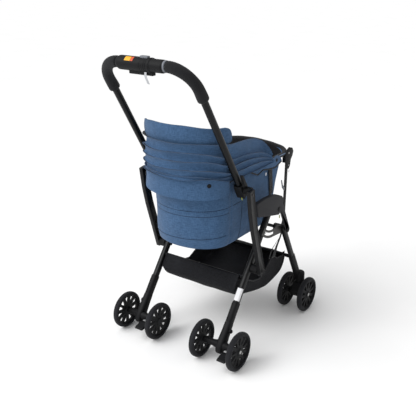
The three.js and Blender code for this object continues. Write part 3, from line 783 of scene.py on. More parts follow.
def front_leg(hand, side):
    node = f"front_leg_{hand}"
    lo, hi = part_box(node)
    caster = pivot(f"caster_{hand}_swivel")
    layer = side * (min(abs(lo.x), abs(hi.x)) + 0.0085)
    start = Vector((layer, FRONT_PIVOT.y, FRONT_PIVOT.z))
    end = Vector((layer, caster.y, lo.z + 0.015))
    direction, length = leg_line(start, end)
    at = lambda s: start + direction * s
    tube = side_bar(f"front_leg_{hand}_tube", [
        (at(-0.0135), 0.0070, 0.0060), (at(-0.010), 0.0080, 0.0100), (at(-0.003), 0.0082, 0.0118),
        (at(0.168), 0.0082, 0.0118)], direction, M["tube"])
    stand_in(tube, node)
    sleeve = side_bar(f"front_leg_{hand}_sleeve", [
        (at(0.158), 0.0082, 0.0122), (at(0.161), 0.0092, 0.0146), (at(0.165), 0.0094, 0.0150),
        (at(length - 0.010), 0.0100, 0.0152), (at(length - 0.002), 0.0096, 0.0140)], direction, M["plastic"])
    riding(sleeve, "front_legs")
    base = Vector((caster.x, caster.y, lo.z))
    fitting(f"caster_socket_{hand}", [
        (0, 0.0165), (0.0012, 0.0180), (0.036, 0.0180), (0.042, 0.0160), (0.046, 0.0110), (0.0465, 0.004)],
        base, UP, "plastic", 40, "front_legs")


def crossbar(node):
    lo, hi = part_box(node)
    r = (hi.z - lo.z) / 2
    line = [Vector((x, middle(node).y, middle(node).z)) for x in (lo.x, 0, hi.x)]
    stand_in(round_tube(node + "_tube", line, r, M["tube"], 28), node)


def chassis():
    for hand, side in HANDS.items():
        rear_leg(hand, side)
        front_leg(hand, side)
        rear_housing(hand, side)
        moulded(f"caster_fork_{hand}", 0.0016, 6, M["plastic"])
        moulded(f"brake_pedal_{hand}", 0.0012, 4, M["plastic"])
        rear = low(f"rear_housing_{hand}").y
        screw(f"housing_screw_{hand}", Vector((side * 0.184, rear + 0.0100, 0.064)), (0, -1, 0.45), 0.0042,
              "rear_legs")
        fitting(f"housing_knob_{hand}", [
            (0, 0.0080), (0.010, 0.0080), (0.013, 0.0070), (0.0145, 0.0040), (0.0148, 0.001)],
            Vector((side * 0.192, pivot("rear_wheels_r_spin").y + 0.034, 0.112)), (side, -0.2, 0.3),
            "plastic", 28, "rear_legs")
    crossbar("rear_crossbar")
    crossbar("front_crossbar")


# ---- handle ----
HANDLE_FOOT = Vector((0.1805, -0.0730, 0.5970))
HANDLE_SHOULDER = Vector((0.1745, -0.2870, 0.9420))
HANDLE_BEND = 0.082


def bezier(a, b, c, d, steps):
    return [
        a * (1 - t) ** 3 + b * 3 * t * (1 - t) ** 2 + c * 3 * t * t * (1 - t) + d * t ** 3
        for t in (i / steps for i in range(1, steps + 1))
    ]


def handle_line(start):
    """The tube's centreline on the right, from a point on its straight part to the middle of the bar."""
    top = Vector((HANDLE_SHOULDER.x, HANDLE_TOP.y, HANDLE_TOP.z))
    up = (top - HANDLE_SHOULDER).normalized()
    bend_start = top - up * HANDLE_BEND
    bend_end = top - RIGHT * HANDLE_BEND
    round_k = 0.5523 * HANDLE_BEND
    line = [start]
    if start != HANDLE_SHOULDER:
        line += [start.lerp(HANDLE_SHOULDER, t) for t in (0.33, 0.66, 1)]
    line.append(HANDLE_SHOULDER.lerp(bend_start, 0.5))
    line.append(bend_start)
    line += bezier(bend_start, bend_start + up * round_k, bend_end + RIGHT * round_k, bend_end, 14)
    return line


def mirrored(line, side):
    return [Vector((side * p.x, p.y, p.z)) for p in line]


def grip_radius(at):
    """Soft foam: nearly even, with a slight roll at its lower end."""
    return 0.0176 + 0.0003 * math.sin(at * 60) + 0.0012 * math.exp(-(((at - 0.012) / 0.010) ** 2))


def handle_tubes():
    for hand, side in HANDS.items():
        tube = round_tube(f"handle_tube_{hand}_drawn", mirrored(handle_line(HANDLE_FOOT), side), TUBE_R,
                          M["tube"], 32)
        stand_in(tube, f"handle_tube_{hand}")
        line = handle_line(HANDLE_SHOULDER)
        line[0] = HANDLE_SHOULDER + (HANDLE_FOOT - HANDLE_SHOULDER).normalized() * 0.001
        grip = round_tube(f"grip_{hand}_foam", mirrored(line, side), grip_radius, M["grip"], 36, 0.006)
        stand_in(grip, f"grip_{hand}")


def casing_radius(x):
    """The release unit's radius along the bar, without its ribs: it narrows at both ends."""
    half = high("release_casing").x
    r = 0.0226
    if x > 0.040:
        r = 0.0208
    edge = half - abs(x)
    if edge < 0.012:
        r -= 0.0052 * (1 - edge / 0.012) ** 1.5
    return r


def release_unit():
    half = high("release_casing").x
    steps = 90
    rib_pitch = 0.0075
    ribs_end = 4 * rib_pitch
    band_from, band_to = 0.032, 0.041
    loops = []
    for i in range(steps + 1):
        x = -half + 2 * half * i / steps
        r = casing_radius(x)
        if 0.000 < x < ribs_end:
            r -= 0.0016 * (0.5 + 0.5 * math.cos(2 * math.pi * x / rib_pitch))
        if band_from < x < band_to:
            r += 0.0007
        loop = []
        for j in range(40):
            turn = 2 * math.pi * j / 40
            c, s = math.cos(turn), math.sin(turn)
            flat = 0.90 if s > 0 else 1.0
            loop.append(Vector((x, HANDLE_TOP.y + r * c, HANDLE_TOP.z + r * s * flat)))
        loops.append(loop)
    body = skin("release_casing_shell", loops, [M["plastic"]], crease=45)
    stand_in(body, "release_casing")
    edged("release_lever", 0.003, M["plastic"])
    edged("lock_button", 0.0025, M["cap"])
    fitting("release_collar", [
        (0, 0.0135), (0, 0.0168), (0.0012, 0.0178), (0.006, 0.0178), (0.0075, 0.0160), (0.0075, 0.013)],
        Vector((half - 0.006, HANDLE_TOP.y, HANDLE_TOP.z)), RIGHT, "cap", 36, "handle")
    hanging_tag()
    casing_sticker(-0.052, -0.030, "amber")
    casing_sticker(-0.029, -0.020, "red")


def casing_sticker(x_from, x_to, finish):
    """A blank coloured patch curved over the casing's upper rear."""
    loops = []
    for i in range(9):
        x = x_from + (x_to - x_from) * i / 8
        r = casing_radius(x)
        rows = []
        for lift in (0.0006, -0.0004):
            row = []
            for j in range(11):
                turn = math.radians(112 + 42 * j / 10)
                row.append(Vector((x, HANDLE_TOP.y + (r + lift) * math.cos(turn),
                                   HANDLE_TOP.z + (0.90 * r + lift) * math.sin(turn))))
            rows.append(row)
        loops.append(rows[0] + rows[1][::-1])
    riding(skin(f"casing_sticker_{finish}", loops, [M[finish]], crease=60), "handle")


def hanging_tag():
    """A short grey plastic strip looped under the casing."""
    top = HANDLE_TOP + Vector((0.022, -0.012, -0.0205))
    line = curved([top, top + Vector((0.004, -0.004, -0.012)), top + Vector((0.011, -0.005, -0.024)),
                   top + Vector((0.015, -0.004, -0.033))], 5)
    loops = []
    for i, p in enumerate(line):
        wide = 0.0045 if i < len(line) - 1 else 0.0036
        loops.append([p + Vector((u, v, 0)) for u, v in rounded_section(wide, 0.0007, 3, 12)])
    riding(skin("casing_tag", loops, [M["tag"]], crease=60), "handle")


def handle_joints():
    for hand, side in HANDS.items():
        edged(f"outer_arm_{hand}", 0.0012, M["tube"], panel=(0.0042, -0.0025))
        moulded(f"joint_block_{hand}", 0.0014, 5, M["plastic"])
        moulded(f"latch_lever_{hand}", 0.0009, 3, M["plastic"])
        face = side * (high(f"outer_arm_{hand}").x if side > 0 else -low(f"outer_arm_{hand}").x)
        screw(f"handle_bolt_{hand}", Vector((face - side * 0.0024, HANDLE_PIVOT.y, HANDLE_PIVOT.z)),
              RIGHT * side, 0.0082, "handle", "dark_steel")
        top = Vector((face - side * 0.0024, -0.0960, 0.6060))
        screw(f"joint_bolt_{hand}", top, RIGHT * side, 0.0050, "handle", "dark_steel")


# ---- seat frame ----
def seat_frame():
    for hand, side in HANDS.items():
        edged(f"side_plate_{hand}", 0.0034, M["cover"], panel=(0.005, 0.0006), segments=4)
        edged(f"upright_{hand}", 0.0012, M["plastic"])
        for node, finish in ((f"guide_plate_{hand}", "dark_steel"), (f"rear_pivot_pin_{hand}", "dark_steel"),
                             (f"rear_axle_{hand}", "steel"), (f"front_axle_{hand}", "steel"),
                             (f"handle_pivot_{hand}", "plastic"), (f"hood_hinge_{hand}", "plastic")):
            finish_node(node, M[finish])
        outer = side * 0.2210
        for name, at in (("rear_pivot_cap", FOLD_PIVOT), ("front_pivot_cap", FRONT_PIVOT)):
            fitting(f"{name}_{hand}", [
                (-0.001, 0.0092), (0.0010, 0.0092), (0.0022, 0.0080), (0.0028, 0.0050), (0.0029, 0.001)],
                Vector((outer - side * 0.0010, at.y, at.z)), RIGHT * side, "plastic", 28, "seat")
    finish_node("front_pivot_rod", M["dark_steel"])
    finish_node("floor_board", M["board"])
    for node in ("canopy_bow_mid", "canopy_bow_front"):
        finish_node(node, M["plastic"])


def finish_node(node, material):
    mesh = frame["nodes"][node].data
    mesh.materials.clear()
    mesh.materials.append(material)


# ---- cabin ----
CABIN_LO, CABIN_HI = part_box("cabin_tub")
# height above the floor, then how far the plan stands in at the sides, rear and front,
# the depth of its round rear, and its front corner radius
CABIN_LEVELS = [
    (0.000, 0.028, 0.048, 0.112, 0.092, 0.040),
    (0.009, 0.008, 0.027, 0.090, 0.108, 0.050),
    (0.040, 0.003, 0.022, 0.072, 0.112, 0.054),
    (0.165, 0.001, 0.020, 0.032, 0.114, 0.056),
    (0.245, 0.000, 0.000, 0.000, 0.124, 0.044),
]
AROUND = 340
WALL = 0.0030
MOUTH = 0.245  # the mouth's height above the cabin's floor, before its edge rises into the rim
RISE_FROM = 0.165  # the height where the skin starts to stretch up to the rim
RIM_COVER = 0.009  # how far the mouth's edge reaches up into the rim, all round


def mouth_rise(p, front, half):
    """How far the mouth's edge rises towards the middle of its front."""
    forward = min(1.0, max(0.0, (p.y - front) / 0.044 + 1))
    across = math.cos(math.pi / 2 * min(1.0, abs(p.x) / half))
    return forward * (0.008 + 0.018 * across)


def level_at(height):
    for a, b in zip(CABIN_LEVELS, CABIN_LEVELS[1:]):
        if height <= b[0]:
            t = (height - a[0]) / (b[0] - a[0])
            return [u + (v - u) * t for u, v in zip(a, b)]
    return list(CABIN_LEVELS[-1])


def evenly(outline, count):
    """A closed outline as evenly spaced points, from its first."""
    closed = [*outline, outline[0]]
    lengths = running_lengths(closed)
    return [point_at(closed, lengths, lengths[-1] * i / count) for i in range(count)]


def cabin_plan(height, inset=0.0):
    """The cabin's outline at a height above its floor, from the middle of its rear."""
    _, sides, rear, front, depth, corner = level_at(height)
    half = CABIN_HI.x - sides - inset
    back = CABIN_LO.y + rear + inset
    depth -= inset
    ahead = CABIN_HI.y - front - inset
    points = []
    for i in range(25):
        turn = math.pi / 2 * i / 24
        points.append(Vector((half * math.sin(turn), back + depth - depth * math.cos(turn), 0)))
    for i in range(9):
        turn = math.pi / 2 * i / 8
        points.append(
            Vector((half - corner + corner * math.cos(turn), ahead - corner + corner * math.sin(turn), 0)))
    left = [Vector((-p.x, p.y, 0)) for p in reversed(points)]
    return evenly(points + left[:-1], AROUND)


def groove(distance, width, depth):
    return -depth * math.exp(-((distance / width) ** 2))


SEAM_Y = -0.094
STITCH_LEVELS = ((0.534, 0.012), (0.518, 0.006), (0.436, 0.012))  # z at the left, rise to the right


def fabric_shift(p):
    """How far the cabin's fabric stands out of its true shape: soft waves, seams and a slack belly."""
    height = p.z - CABIN_LO.z
    wave = 0.0022 * noise.noise(p * 9) + 0.0011 * noise.noise(p * 27 + UP * 3)
    pulls = 0.0010 * math.sin(p.z * 150 + 6 * noise.noise(p * 7)) * max(0.0, noise.noise(p * 5 + UP * 9))
    belly = 0.0020 * math.sin(math.pi * min(1.0, height / MOUTH))
    shift = wave + pulls + belly - 0.0022
    if abs(p.x) > 0.10 and p.y < 0.0:
        shift += groove(p.y - SEAM_Y, 0.0035, 0.0020)
    if p.y < -0.09:
        for z, rise in STITCH_LEVELS:
            shift += groove(p.z - z - rise * (p.x / 0.15 + 1) / 2, 0.0030, 0.0012)
    return shift


def cabin_loop(height, inset=0.0):
    """The cabin's skin at a height above its floor, with its waves and with the mouth's rise."""
    outline = cabin_plan(height, inset)
    count = len(outline)
    z = CABIN_LO.z + height
    lift = max(0.0, (height - RISE_FROM) / (MOUTH - RISE_FROM))
    front = max(p.y for p in outline)
    half = max(p.x for p in outline)
    loop = []
    for i, p in enumerate(outline):
        along = (outline[(i + 1) % count] - outline[i - 1]).normalized()
        out = along.cross(UP)
        spot = Vector((p.x, p.y, z + lift * (RIM_COVER + mouth_rise(p, front, half))))
        loop.append(spot + out * fabric_shift(spot))
    return loop


def shrunk(loop, factor, z):
    centre = sum(loop, Vector()) / len(loop)
    return [
        Vector((centre.x + (p.x - centre.x) * factor, centre.y + (p.y - centre.y) * factor, z))
        for p in loop
    ]


def cabin():
    floor = CABIN_LO.z
    heights = [0.0, 0.0025, 0.0055] + [0.009 + (MOUTH - 0.009) * i / 60 for i in range(61)]
    outer = [cabin_loop(h) for h in heights]
    under = [
        shrunk(outer[0], f, floor - 0.0015 * math.sin(math.pi * f))
        for f in (0.05, 0.3, 0.6, 0.85, 0.96)
    ]
    inner = [
        [Vector((p.x, p.y, max(p.z, floor + WALL))) for p in cabin_loop(h, WALL)]
        for h in reversed(heights[2:])
    ]
    base = [shrunk(inner[-1], f, floor + WALL) for f in (0.9, 0.6, 0.3, 0.05)]
    loops = under + outer + inner + base
    turn_in = len(under) + len(outer)
    piece = skin("cabin_fabric", loops, [M["denim"], M["lining"]],
                 paint=lambda i, j: 0 if i < turn_in else 1, crease=70)
    stand_in(piece, "cabin_tub")
    return piece


def cabin_seam(name, places):
    """A line of stitching on the cabin's skin, a thin tube coloured with painted seam shade; a place is
    (share of the way round, z).
    """
    line = []
    for share, z in places:
        loop = cabin_plan(z - CABIN_LO.z)
        at = share * AROUND
        k = int(math.floor(at))
        spot = loop[k % AROUND].lerp(loop[(k + 1) % AROUND], at - k)
        out = (loop[(k + 2) % AROUND] - loop[(k - 2) % AROUND]).normalized().cross(UP)
        spot = Vector((spot.x, spot.y, z))
        line.append(spot + out * (fabric_shift(spot) + 0.0002))
    # The tube's dark colour is painted shade along the seam.
    riding(round_tube(name, line, 0.0009, M["denim_seam"], 8), "seat")


def cabin_seams():
    for k, (left, right, z_left, z_right) in enumerate((
            (-0.150, 0.200, 0.533, 0.548), (-0.150, 0.150, 0.516, 0.526), (-0.150, 0.145, 0.427, 0.446))):
        cabin_seam(f"cabin_seam_{k}", [
            (left + (right - left) * i / 40, z_left + (z_right - z_left) * i / 40) for i in range(41)])
    for hand, side in HANDS.items():
        cabin_seam(f"cabin_side_seam_{hand}", [
            (side * (0.206 + 0.004 * i / 24), 0.585 - 0.180 * i / 24) for i in range(25)])


# ---- rim of the cabin's mouth ----
RIM_R = 0.007


def rim_line(offset=0.0, lift=0.0):
    """Round the front of the cabin's mouth, from the right hood hinge to the left one, arched in front."""
    lo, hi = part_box("cabin_rim")
    half = hi.x - RIM_R + offset
    front = hi.y - RIM_R + offset
    corner = 0.038 + offset
    points = [Vector((half, lo.y + (front - corner - lo.y) * i / 10, 0)) for i in range(11)]
    for i in range(1, 10):
        turn = math.pi / 2 * i / 9
        points.append(
            Vector((half - corner + corner * math.cos(turn), front - corner + corner * math.sin(turn), 0)))
    points += [Vector(((half - corner) * (1 - i / 8), front, 0)) for i in range(1, 9)]
    points += [Vector((-p.x, p.y, 0)) for p in reversed(points[:-1])]
    for p in points:
        p.z = lo.z + RIM_R + lift + mouth_rise(p, front, half)
    return points


def rim():
    band = round_tube("cabin_rim_binding", rim_line(), lambda at: 0.0084 + 0.0004 * math.sin(at * 90),
                      M["binding"], 20, 0.008)
    stand_in(band, "cabin_rim")
    piping = round_tube("cabin_rim_piping", rim_line(0.0062, 0.0034), 0.0022, M["denim_pale"], 10, 0.003)
    riding(piping, "seat")


# ---- hood ----
def u_line(half, rear, depth, arm_end, count):
    """Places round the rear, from the right arm's end to the left one's.

    Each comes with the direction into the hood and its distance along the line.
    """
    centre = rear + depth
    points = []
    arms = max(2, int((arm_end - centre) / 0.006)) if arm_end > centre else 0
    for i in range(arms):
        points.append(Vector((half, arm_end + (centre - arm_end) * i / arms, 0)))
    for i in range(121):
        turn = -math.pi * i / 120
        points.append(Vector((half * math.cos(turn), centre + depth * math.sin(turn), 0)))
    for i in range(arms):
        points.append(Vector((-half, centre + (arm_end - centre) * (i + 1) / arms, 0)))
    lengths = running_lengths(points)
    line = [point_at(points, lengths, lengths[-1] * i / (count - 1)) for i in range(count)]
    spots = []
    for i, p in enumerate(line):
        along = (line[min(i + 1, count - 1)] - line[max(i - 1, 0)]).normalized()
        inward = UP.cross(along) * -1
        spots.append((p, inward, lengths[-1] * i / (count - 1)))
    return spots, lengths[-1]


HOOD_HALF = high("hood_mid_band").x
HOOD_REAR = low("hood_mid_band").y
HOOD_DEPTH = 0.132


# heights of the fold lines at the rear, and on the sides as a share of the pile's height there
REAR_FOLDS = (0.670, 0.700, 0.730, 0.757, 0.790)
SIDE_SHARES = (0.0, 0.21, 0.39, 0.57, 1.0)
PILE_FOOT = 0.650


def side_top(y):
    """The pile's top along the sides: level behind, then falling to the hinge."""
    share = min(1.0, max(0.0, (y + 0.111) / 0.262))
    return PILE_FOOT + 0.124 * (1 - share ** 2.9) ** 0.74


def fold_heights(p, first, last):
    """The fold lines' heights at a place on the hood's plan."""
    to_side = smooth(HOOD_REAR + 0.03, HOOD_REAR + HOOD_DEPTH + 0.02, p.y)
    tall = side_top(p.y) - PILE_FOOT
    heights = []
    for k in range(first, last + 1):
        on_side = PILE_FOOT + SIDE_SHARES[k] * tall
        z = REAR_FOLDS[k] + (on_side - REAR_FOLDS[k]) * to_side
        wander = 0.0040 * noise.noise(Vector((p.x * 8, p.y * 8, k * 2.3)))
        heights.append(z + wander * min(1.0, tall / 0.1))
    return heights


def gather(name, first, last, arm_end, node):
    """A band of folds round the rear: one sheet that stands out at each fold line and dips in between."""
    spots, total = u_line(HOOD_HALF, HOOD_REAR, HOOD_DEPTH, arm_end, 220)
    thick = 0.0016
    rows = 14
    loops = []
    for p, inward, at in spots:
        edge = min(at, total - at)
        swell = round_in(edge, 0.040)
        heights = fold_heights(p, first, last)
        at_left = smooth(0.105, 0.150, -p.x)
        deep = -0.0145 + 0.0070 * at_left
        slim = 1 - 0.30 * at_left
        lining = []
        face = []
        for k, (za, zb) in enumerate(zip(heights, heights[1:])):
            tall = zb - za
            fullness = 0.9 + 0.45 * noise.noise(Vector((p.x * 7, p.y * 7, (first + k) * 3.7)))
            plump = min(0.0185, 0.0050 + 0.42 * tall) * fullness * slim
            for j in range(rows):
                turn = math.radians(-84 + 168 * j / (rows - 1))
                r = deep + plump * math.cos(turn) ** 0.6
                z = (za + zb) / 2 + tall / 2 * math.sin(turn) - min(0.0055, 0.20 * tall) * math.cos(turn)
                spot = p + inward * (r * (0.35 + 0.65 * swell) - 0.008 * (1 - swell)) + UP * z
                crumple = 0.0014 * noise.noise(spot * 24) + 0.0006 * noise.noise(spot * 70)
                spot += inward * crumple * swell
                lining.append(spot)
                face.append(spot - inward * thick)
        loops.append(lining + face[::-1])

    def shade(i, j):
        """Painted shade: dark along the fold lines, on the inner side."""
        row = j % rows
        return 1 if j < rows * (last - first) and (row < 3 or row > rows - 5) else 0

    # The second finish is painted shade in the creases between the rolls.
    piece = skin(name, loops, [M["denim"], M["denim_crease"]], paint=shade, crease=75)
    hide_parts(node)
    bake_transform(piece)
    return piece


def hood_folds():
    arm_end = 0.146
    lower = gather("hood_fold_lower", 0, 2, arm_end,
                   "hood_mid_band")
    upper = gather("hood_fold_upper", 2, 4, arm_end - 0.010,
                   "hood_front_band")


def flap():
    """The stiff rear flap with its round lower corners; its stitched hem is on the inner side."""
    lo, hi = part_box("hood_skirt")
    spots, total = u_line(hi.x, lo.y, 0.130, lo.y + 0.131, 180)
    loops = []
    rows = 34
    for p, inward, at in spots:
        edge = min(at, total - at)
        lift = corner_cut(edge, 0.022)
        bottom = 0.5965 + 0.006 * (1 - (p.x / hi.x)) / 2 + lift
        top = 0.6785 - 0.012 * smooth(0.10, 0.16, abs(p.x)) * (1 if p.x > 0 else 0.4)
        taper = round_in(edge, 0.006)
        lining = []
        face = []
        for i in range(rows + 1):
            z = bottom + (top - bottom) * i / rows
            spot = p + UP * z
            shift = 0.0018 * noise.noise(spot * 8) + 0.0008 * noise.noise(spot * 30)
            shift += 0.0016 * math.sin(math.pi * i / rows)
            shift += groove(i / rows * (top - bottom) - 0.0055, 0.0014, 0.0010)
            shift -= 0.004 * smooth(0.88, 1.0, i / rows)
            lining.append(spot + inward * (shift - 0.0012 * (1 - taper)))
            face.append(spot + inward * (shift - 0.0030 + 0.0012 * (1 - taper)))
        loops.append(lining + face[::-1])

    # Row 2, the stitch groove, is coloured with painted shade; row 0, the hem's edge, with pale denim.
    def tone(i, j):
        row = j if j < rows else 2 * rows + 1 - j
        return {0: 2, 2: 1}.get(row, 0) if j <= rows else 0

    finishes = [M["denim"], M["denim_seam"], M["denim_pale"]]
    piece = skin("hood_rear_flap", loops, finishes, paint=tone, crease=75)
    stand_in(piece, "hood_skirt")


# ---- visor ----
VISOR_TOP = 0.843
VISOR_BOTTOM = 0.775


def visor():
    lo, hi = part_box("hood_visor")
    spots, total = u_line(hi.x, lo.y, 0.122, lo.y + 0.128, 190)
    loops = []
    rows = 24
    for p, inward, at in spots:
        edge = min(at, total - at)
        right = p.x > 0
        round_off = corner_cut(edge, 0.030)
        fall = 0.0 if right else 0.034 * smooth(-0.195, -0.130, p.y)
        top = VISOR_TOP - 0.013 * smooth(0.05, 0.16, abs(p.x)) - 0.8 * round_off - fall
        bottom = VISOR_BOTTOM + (0.0 if right else 0.016 * smooth(0.02, 0.14, -p.x)) + 0.25 * round_off
        taper = round_in(edge, 0.008)
        lining = []
        face = []
        for i in range(rows + 1):
            t = i / rows
            z = bottom + (top - bottom) * t
            spot = p + UP * z
            crown = math.sin(math.pi * (0.06 + 0.88 * t)) ** 0.5
            half_thick = (0.0010 + 0.0044 * crown) * (0.35 + 0.65 * taper)
            wave = 0.0020 * noise.noise(spot * 7 + RIGHT * 5) + 0.0007 * noise.noise(spot * 26)
            lean = -0.0060 + wave - 0.004 * (1 - taper)
            lining.append(spot + inward * (lean + half_thick))
            face.append(spot + inward * (lean - half_thick))
        loops.append(lining + face[::-1])
    piece = skin("hood_visor_pad", loops, [M["denim"]], crease=75)
    stand_in(piece, "hood_visor")
    edge_line = [p + inward * -0.0010 + UP * (VISOR_BOTTOM - 0.001 + 0.016 * smooth(0.02, 0.14, -p.x))
                 for p, inward, at in spots if p.x < -0.02 and total - at > 0.012]
    riding(round_tube("hood_visor_piping", edge_line, 0.0019, M["denim_pale"], 10, 0.003),
           "canopy_front")


# ---- snaps, side strips, webbing and corner fittings ----
def snap(name, plan, degrees, height, radius, body, out_by):
    """A press stud on a rear half ellipse, at an angle from its right end."""
    half, rear, depth = plan
    turn = math.radians(degrees)
    spot = Vector((half * math.cos(turn), rear + depth + depth * math.sin(turn), height))
    out = Vector((math.cos(turn) / half, math.sin(turn) / depth, 0)).normalized()
    fitting(name, [
        (-0.002, radius), (0.0008, radius), (0.0018, radius * 0.86), (0.0022, radius * 0.60),
        (0.0016, radius * 0.45), (0.0015, radius * 0.1)], spot + out * out_by, out, "plastic", 24, body)


STRIP_TOP = ((-0.120, 0.664), (-0.060, 0.670), (0.000, 0.668), (0.059, 0.657), (0.110, 0.652),
             (0.148, 0.655), (0.191, 0.662), (0.212, 0.652), (0.224, 0.638))
STRIP_FOOT = ((-0.120, 0.642), (-0.053, 0.646), (-0.028, 0.653), (0.015, 0.640), (0.059, 0.620),
              (0.093, 0.630), (0.135, 0.623), (0.179, 0.619), (0.224, 0.632))


def along_points(points, y):
    for (ya, za), (yb, zb) in zip(points, points[1:]):
        if y <= yb:
            return za + (zb - za) * (y - ya) / (yb - ya)
    return points[-1][1]


def side_strip(hand, side):
    """The hood's side hem, which hangs over the cabin's top edge and ends in a tongue."""
    loops = []
    hem = []
    columns = 90
    for i in range(columns + 1):
        y = STRIP_FOOT[0][0] + (STRIP_FOOT[-1][0] - STRIP_FOOT[0][0]) * i / columns
        foot, top = along_points(STRIP_FOOT, y), along_points(STRIP_TOP, y)
        outside = []
        for j in range(13):
            z = foot + (top - foot) * j / 12
            wave = 0.0009 * noise.noise(Vector((side * 3, y * 26, z * 30)))
            x = 0.1588 + 0.0030 * smooth(0.09, 0.14, y) + wave + 0.0010 * math.sin(math.pi * j / 12)
            outside.append(Vector((side * x, y, z)))
        inside = [p - RIGHT * side * 0.0014 for p in reversed(outside)]
        loops.append(outside + inside)
        hem.append(outside[0])
    strip = skin(f"hood_side_strip_{hand}", loops, [M["denim"]], crease=70)
    riding(strip, "seat")
    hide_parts("hood_skirt")
    bound = round_tube(f"hood_side_binding_{hand}", hem, 0.0027, M["binding"], 12, 0.003)
    riding(bound, "seat")
    fitting(f"strip_snap_{hand}", [
        (-0.001, 0.0062), (0.0010, 0.0062), (0.0020, 0.0050), (0.0016, 0.0028), (0.0015, 0.0008)],
        Vector((side * 0.1624, 0.185, 0.645)), RIGHT * side, "plastic", 22, "seat")


def corner_fittings(hand, side):
    """The bracket, hook and bumper at the front corner of the cabin's mouth, with the strap behind them."""
    plate(f"corner_bracket_{hand}", side, [
        (0.246, 0.640), (0.258, 0.662), (0.280, 0.672), (0.300, 0.666), (0.309, 0.652), (0.303, 0.636),
        (0.291, 0.622), (0.287, 0.600), (0.276, 0.588), (0.262, 0.594), (0.254, 0.618)],
        0.1585, 0.1656, "plastic", 0.0018)
    fitting(f"corner_bumper_{hand}", [
        (-0.010, 0.0075), (0.001, 0.0082), (0.004, 0.0078), (0.006, 0.0058), (0.0066, 0.001)],
        Vector((side * 0.1570, 0.303, 0.655)), RIGHT * side, "plastic", 28, "seat")
    screw(f"corner_screw_{hand}", Vector((side * 0.1656, 0.272, 0.652)), RIGHT * side, 0.0036, "seat")
    screw(f"corner_rivet_{hand}", Vector((side * 0.1656, 0.274, 0.604)), RIGHT * side, 0.0028, "seat")
    plate(f"strap_hook_{hand}", side, [
        (0.2230, 0.5560), (0.2290, 0.5575), (0.2380, 0.5350), (0.2600, 0.5150), (0.2650, 0.5080),
        (0.2600, 0.5050), (0.2500, 0.5080), (0.2330, 0.5240)], 0.1626, 0.1644, "cap", 0.0007)
    strap = tape(f"side_webbing_{hand}", side, [
        (0.1538, 0.153, 0.652), (0.1532, 0.160, 0.600), (0.1528, 0.167, 0.555), (0.1520, 0.171, 0.515)],
        6, 0.024, 0.0016)
    # Painted shade: a dark strip laid in the shaded gap between the flap's end and the joint block.
    tape(f"painted_gap_shade_strip_{hand}", side, [
        (0.1530, -0.068, 0.645), (0.1526, -0.067, 0.615), (0.1520, -0.066, 0.588)], 5, 0.010, 0.0016)
    for k, (y, z) in enumerate(((0.108, 0.616), (0.281, 0.583))):
        plate(f"care_tag_{hand}_{k}", side, [
            (y, z), (y + 0.006, z - 0.001), (y + 0.005, z - 0.011), (y - 0.001, z - 0.010)],
            0.1626, 0.1631, "label", 0.0001)


def links_and_marks(hand, side):
    """The straps from the hinge down to the basket, and the small coloured tabs by the hinges."""
    strap = tape(f"basket_strap_{hand}", side, [
        (0.1935, 0.190, 0.372), (0.1880, 0.190, 0.345), (0.1750, 0.186, 0.300), (0.1655, 0.182, 0.255)],
        6, lambda t: 0.012 + 0.016 * t * t, 0.0016)
    tape(f"basket_strap_end_{hand}", side, [
        (0.1655, 0.150, 0.262), (0.1700, 0.165, 0.300), (0.1860, 0.184, 0.340)],
        6, 0.010, 0.0014, Vector((0, 1, 0.4)))
    plate(f"hinge_tab_{hand}", side, [
        (0.1520, 0.4480), (0.1590, 0.4470), (0.1600, 0.4350), (0.1530, 0.4350)],
        0.1990, 0.1998, "mark", 0.0002)
    block = low(f"joint_block_{hand}")
    plate(f"joint_tab_{hand}", side, [
        (block.y + 0.002, 0.5930), (block.y + 0.007, 0.5905), (block.y + 0.012, 0.5800),
        (block.y + 0.006, 0.5830)], 0.1962, 0.1969, "mark", 0.0002, "handle")


# ---- basket ----
BASKET_SPLIT = 0.105
BASKET_FLOOR = ((-0.088, 0.226), (-0.064, 0.200), (0.003, 0.1785), (0.105, 0.1525), (0.166, 0.1490),
                (0.243, 0.1660), (0.2757, 0.2000))
BASKET_EDGE = ((-0.052, 0.268), (-0.010, 0.240), (0.040, 0.213), (0.085, 0.205), (0.130, 0.226),
               (0.165, 0.256), (0.190, 0.258), (0.215, 0.240), (0.2690, 0.235))


def on_bars(piece):
    """A basket piece takes the place of the CAD basket: the basket is hidden and the piece's transform baked
    into its mesh.
    """
    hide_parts("basket")
    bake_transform(piece)
    return piece


def basket_floor(name, side_view, half):
    columns = 60
    loops = []
    for i, place in enumerate(side_view):
        upper = []
        lower = []
        for j in range(columns + 1):
            x = -half + 2 * half * j / columns
            spot = Vector((x, place.y, place.z))
            edge = 1 - abs(x) / half
            slack = math.sin(math.pi * j / columns) * min(1.0, max(0.0, (0.24 - place.z) / 0.06))
            upturn = 0.010 * max(0.0, 1 - edge / 0.08) ** 2
            spot.z += 0.0016 * noise.noise(spot * 20) - 0.005 * slack + upturn
            spot.y += 0.0020 * noise.noise(spot * 11 + UP * 4)
            upper.append(spot)
            lower.append(spot + Vector((0, 0.0008 if place.z > 0.2 else 0, -0.0012)))
        loops.append(upper + lower[::-1])
    return on_bars(skin(name, loops, [M["mesh"]], crease=75))


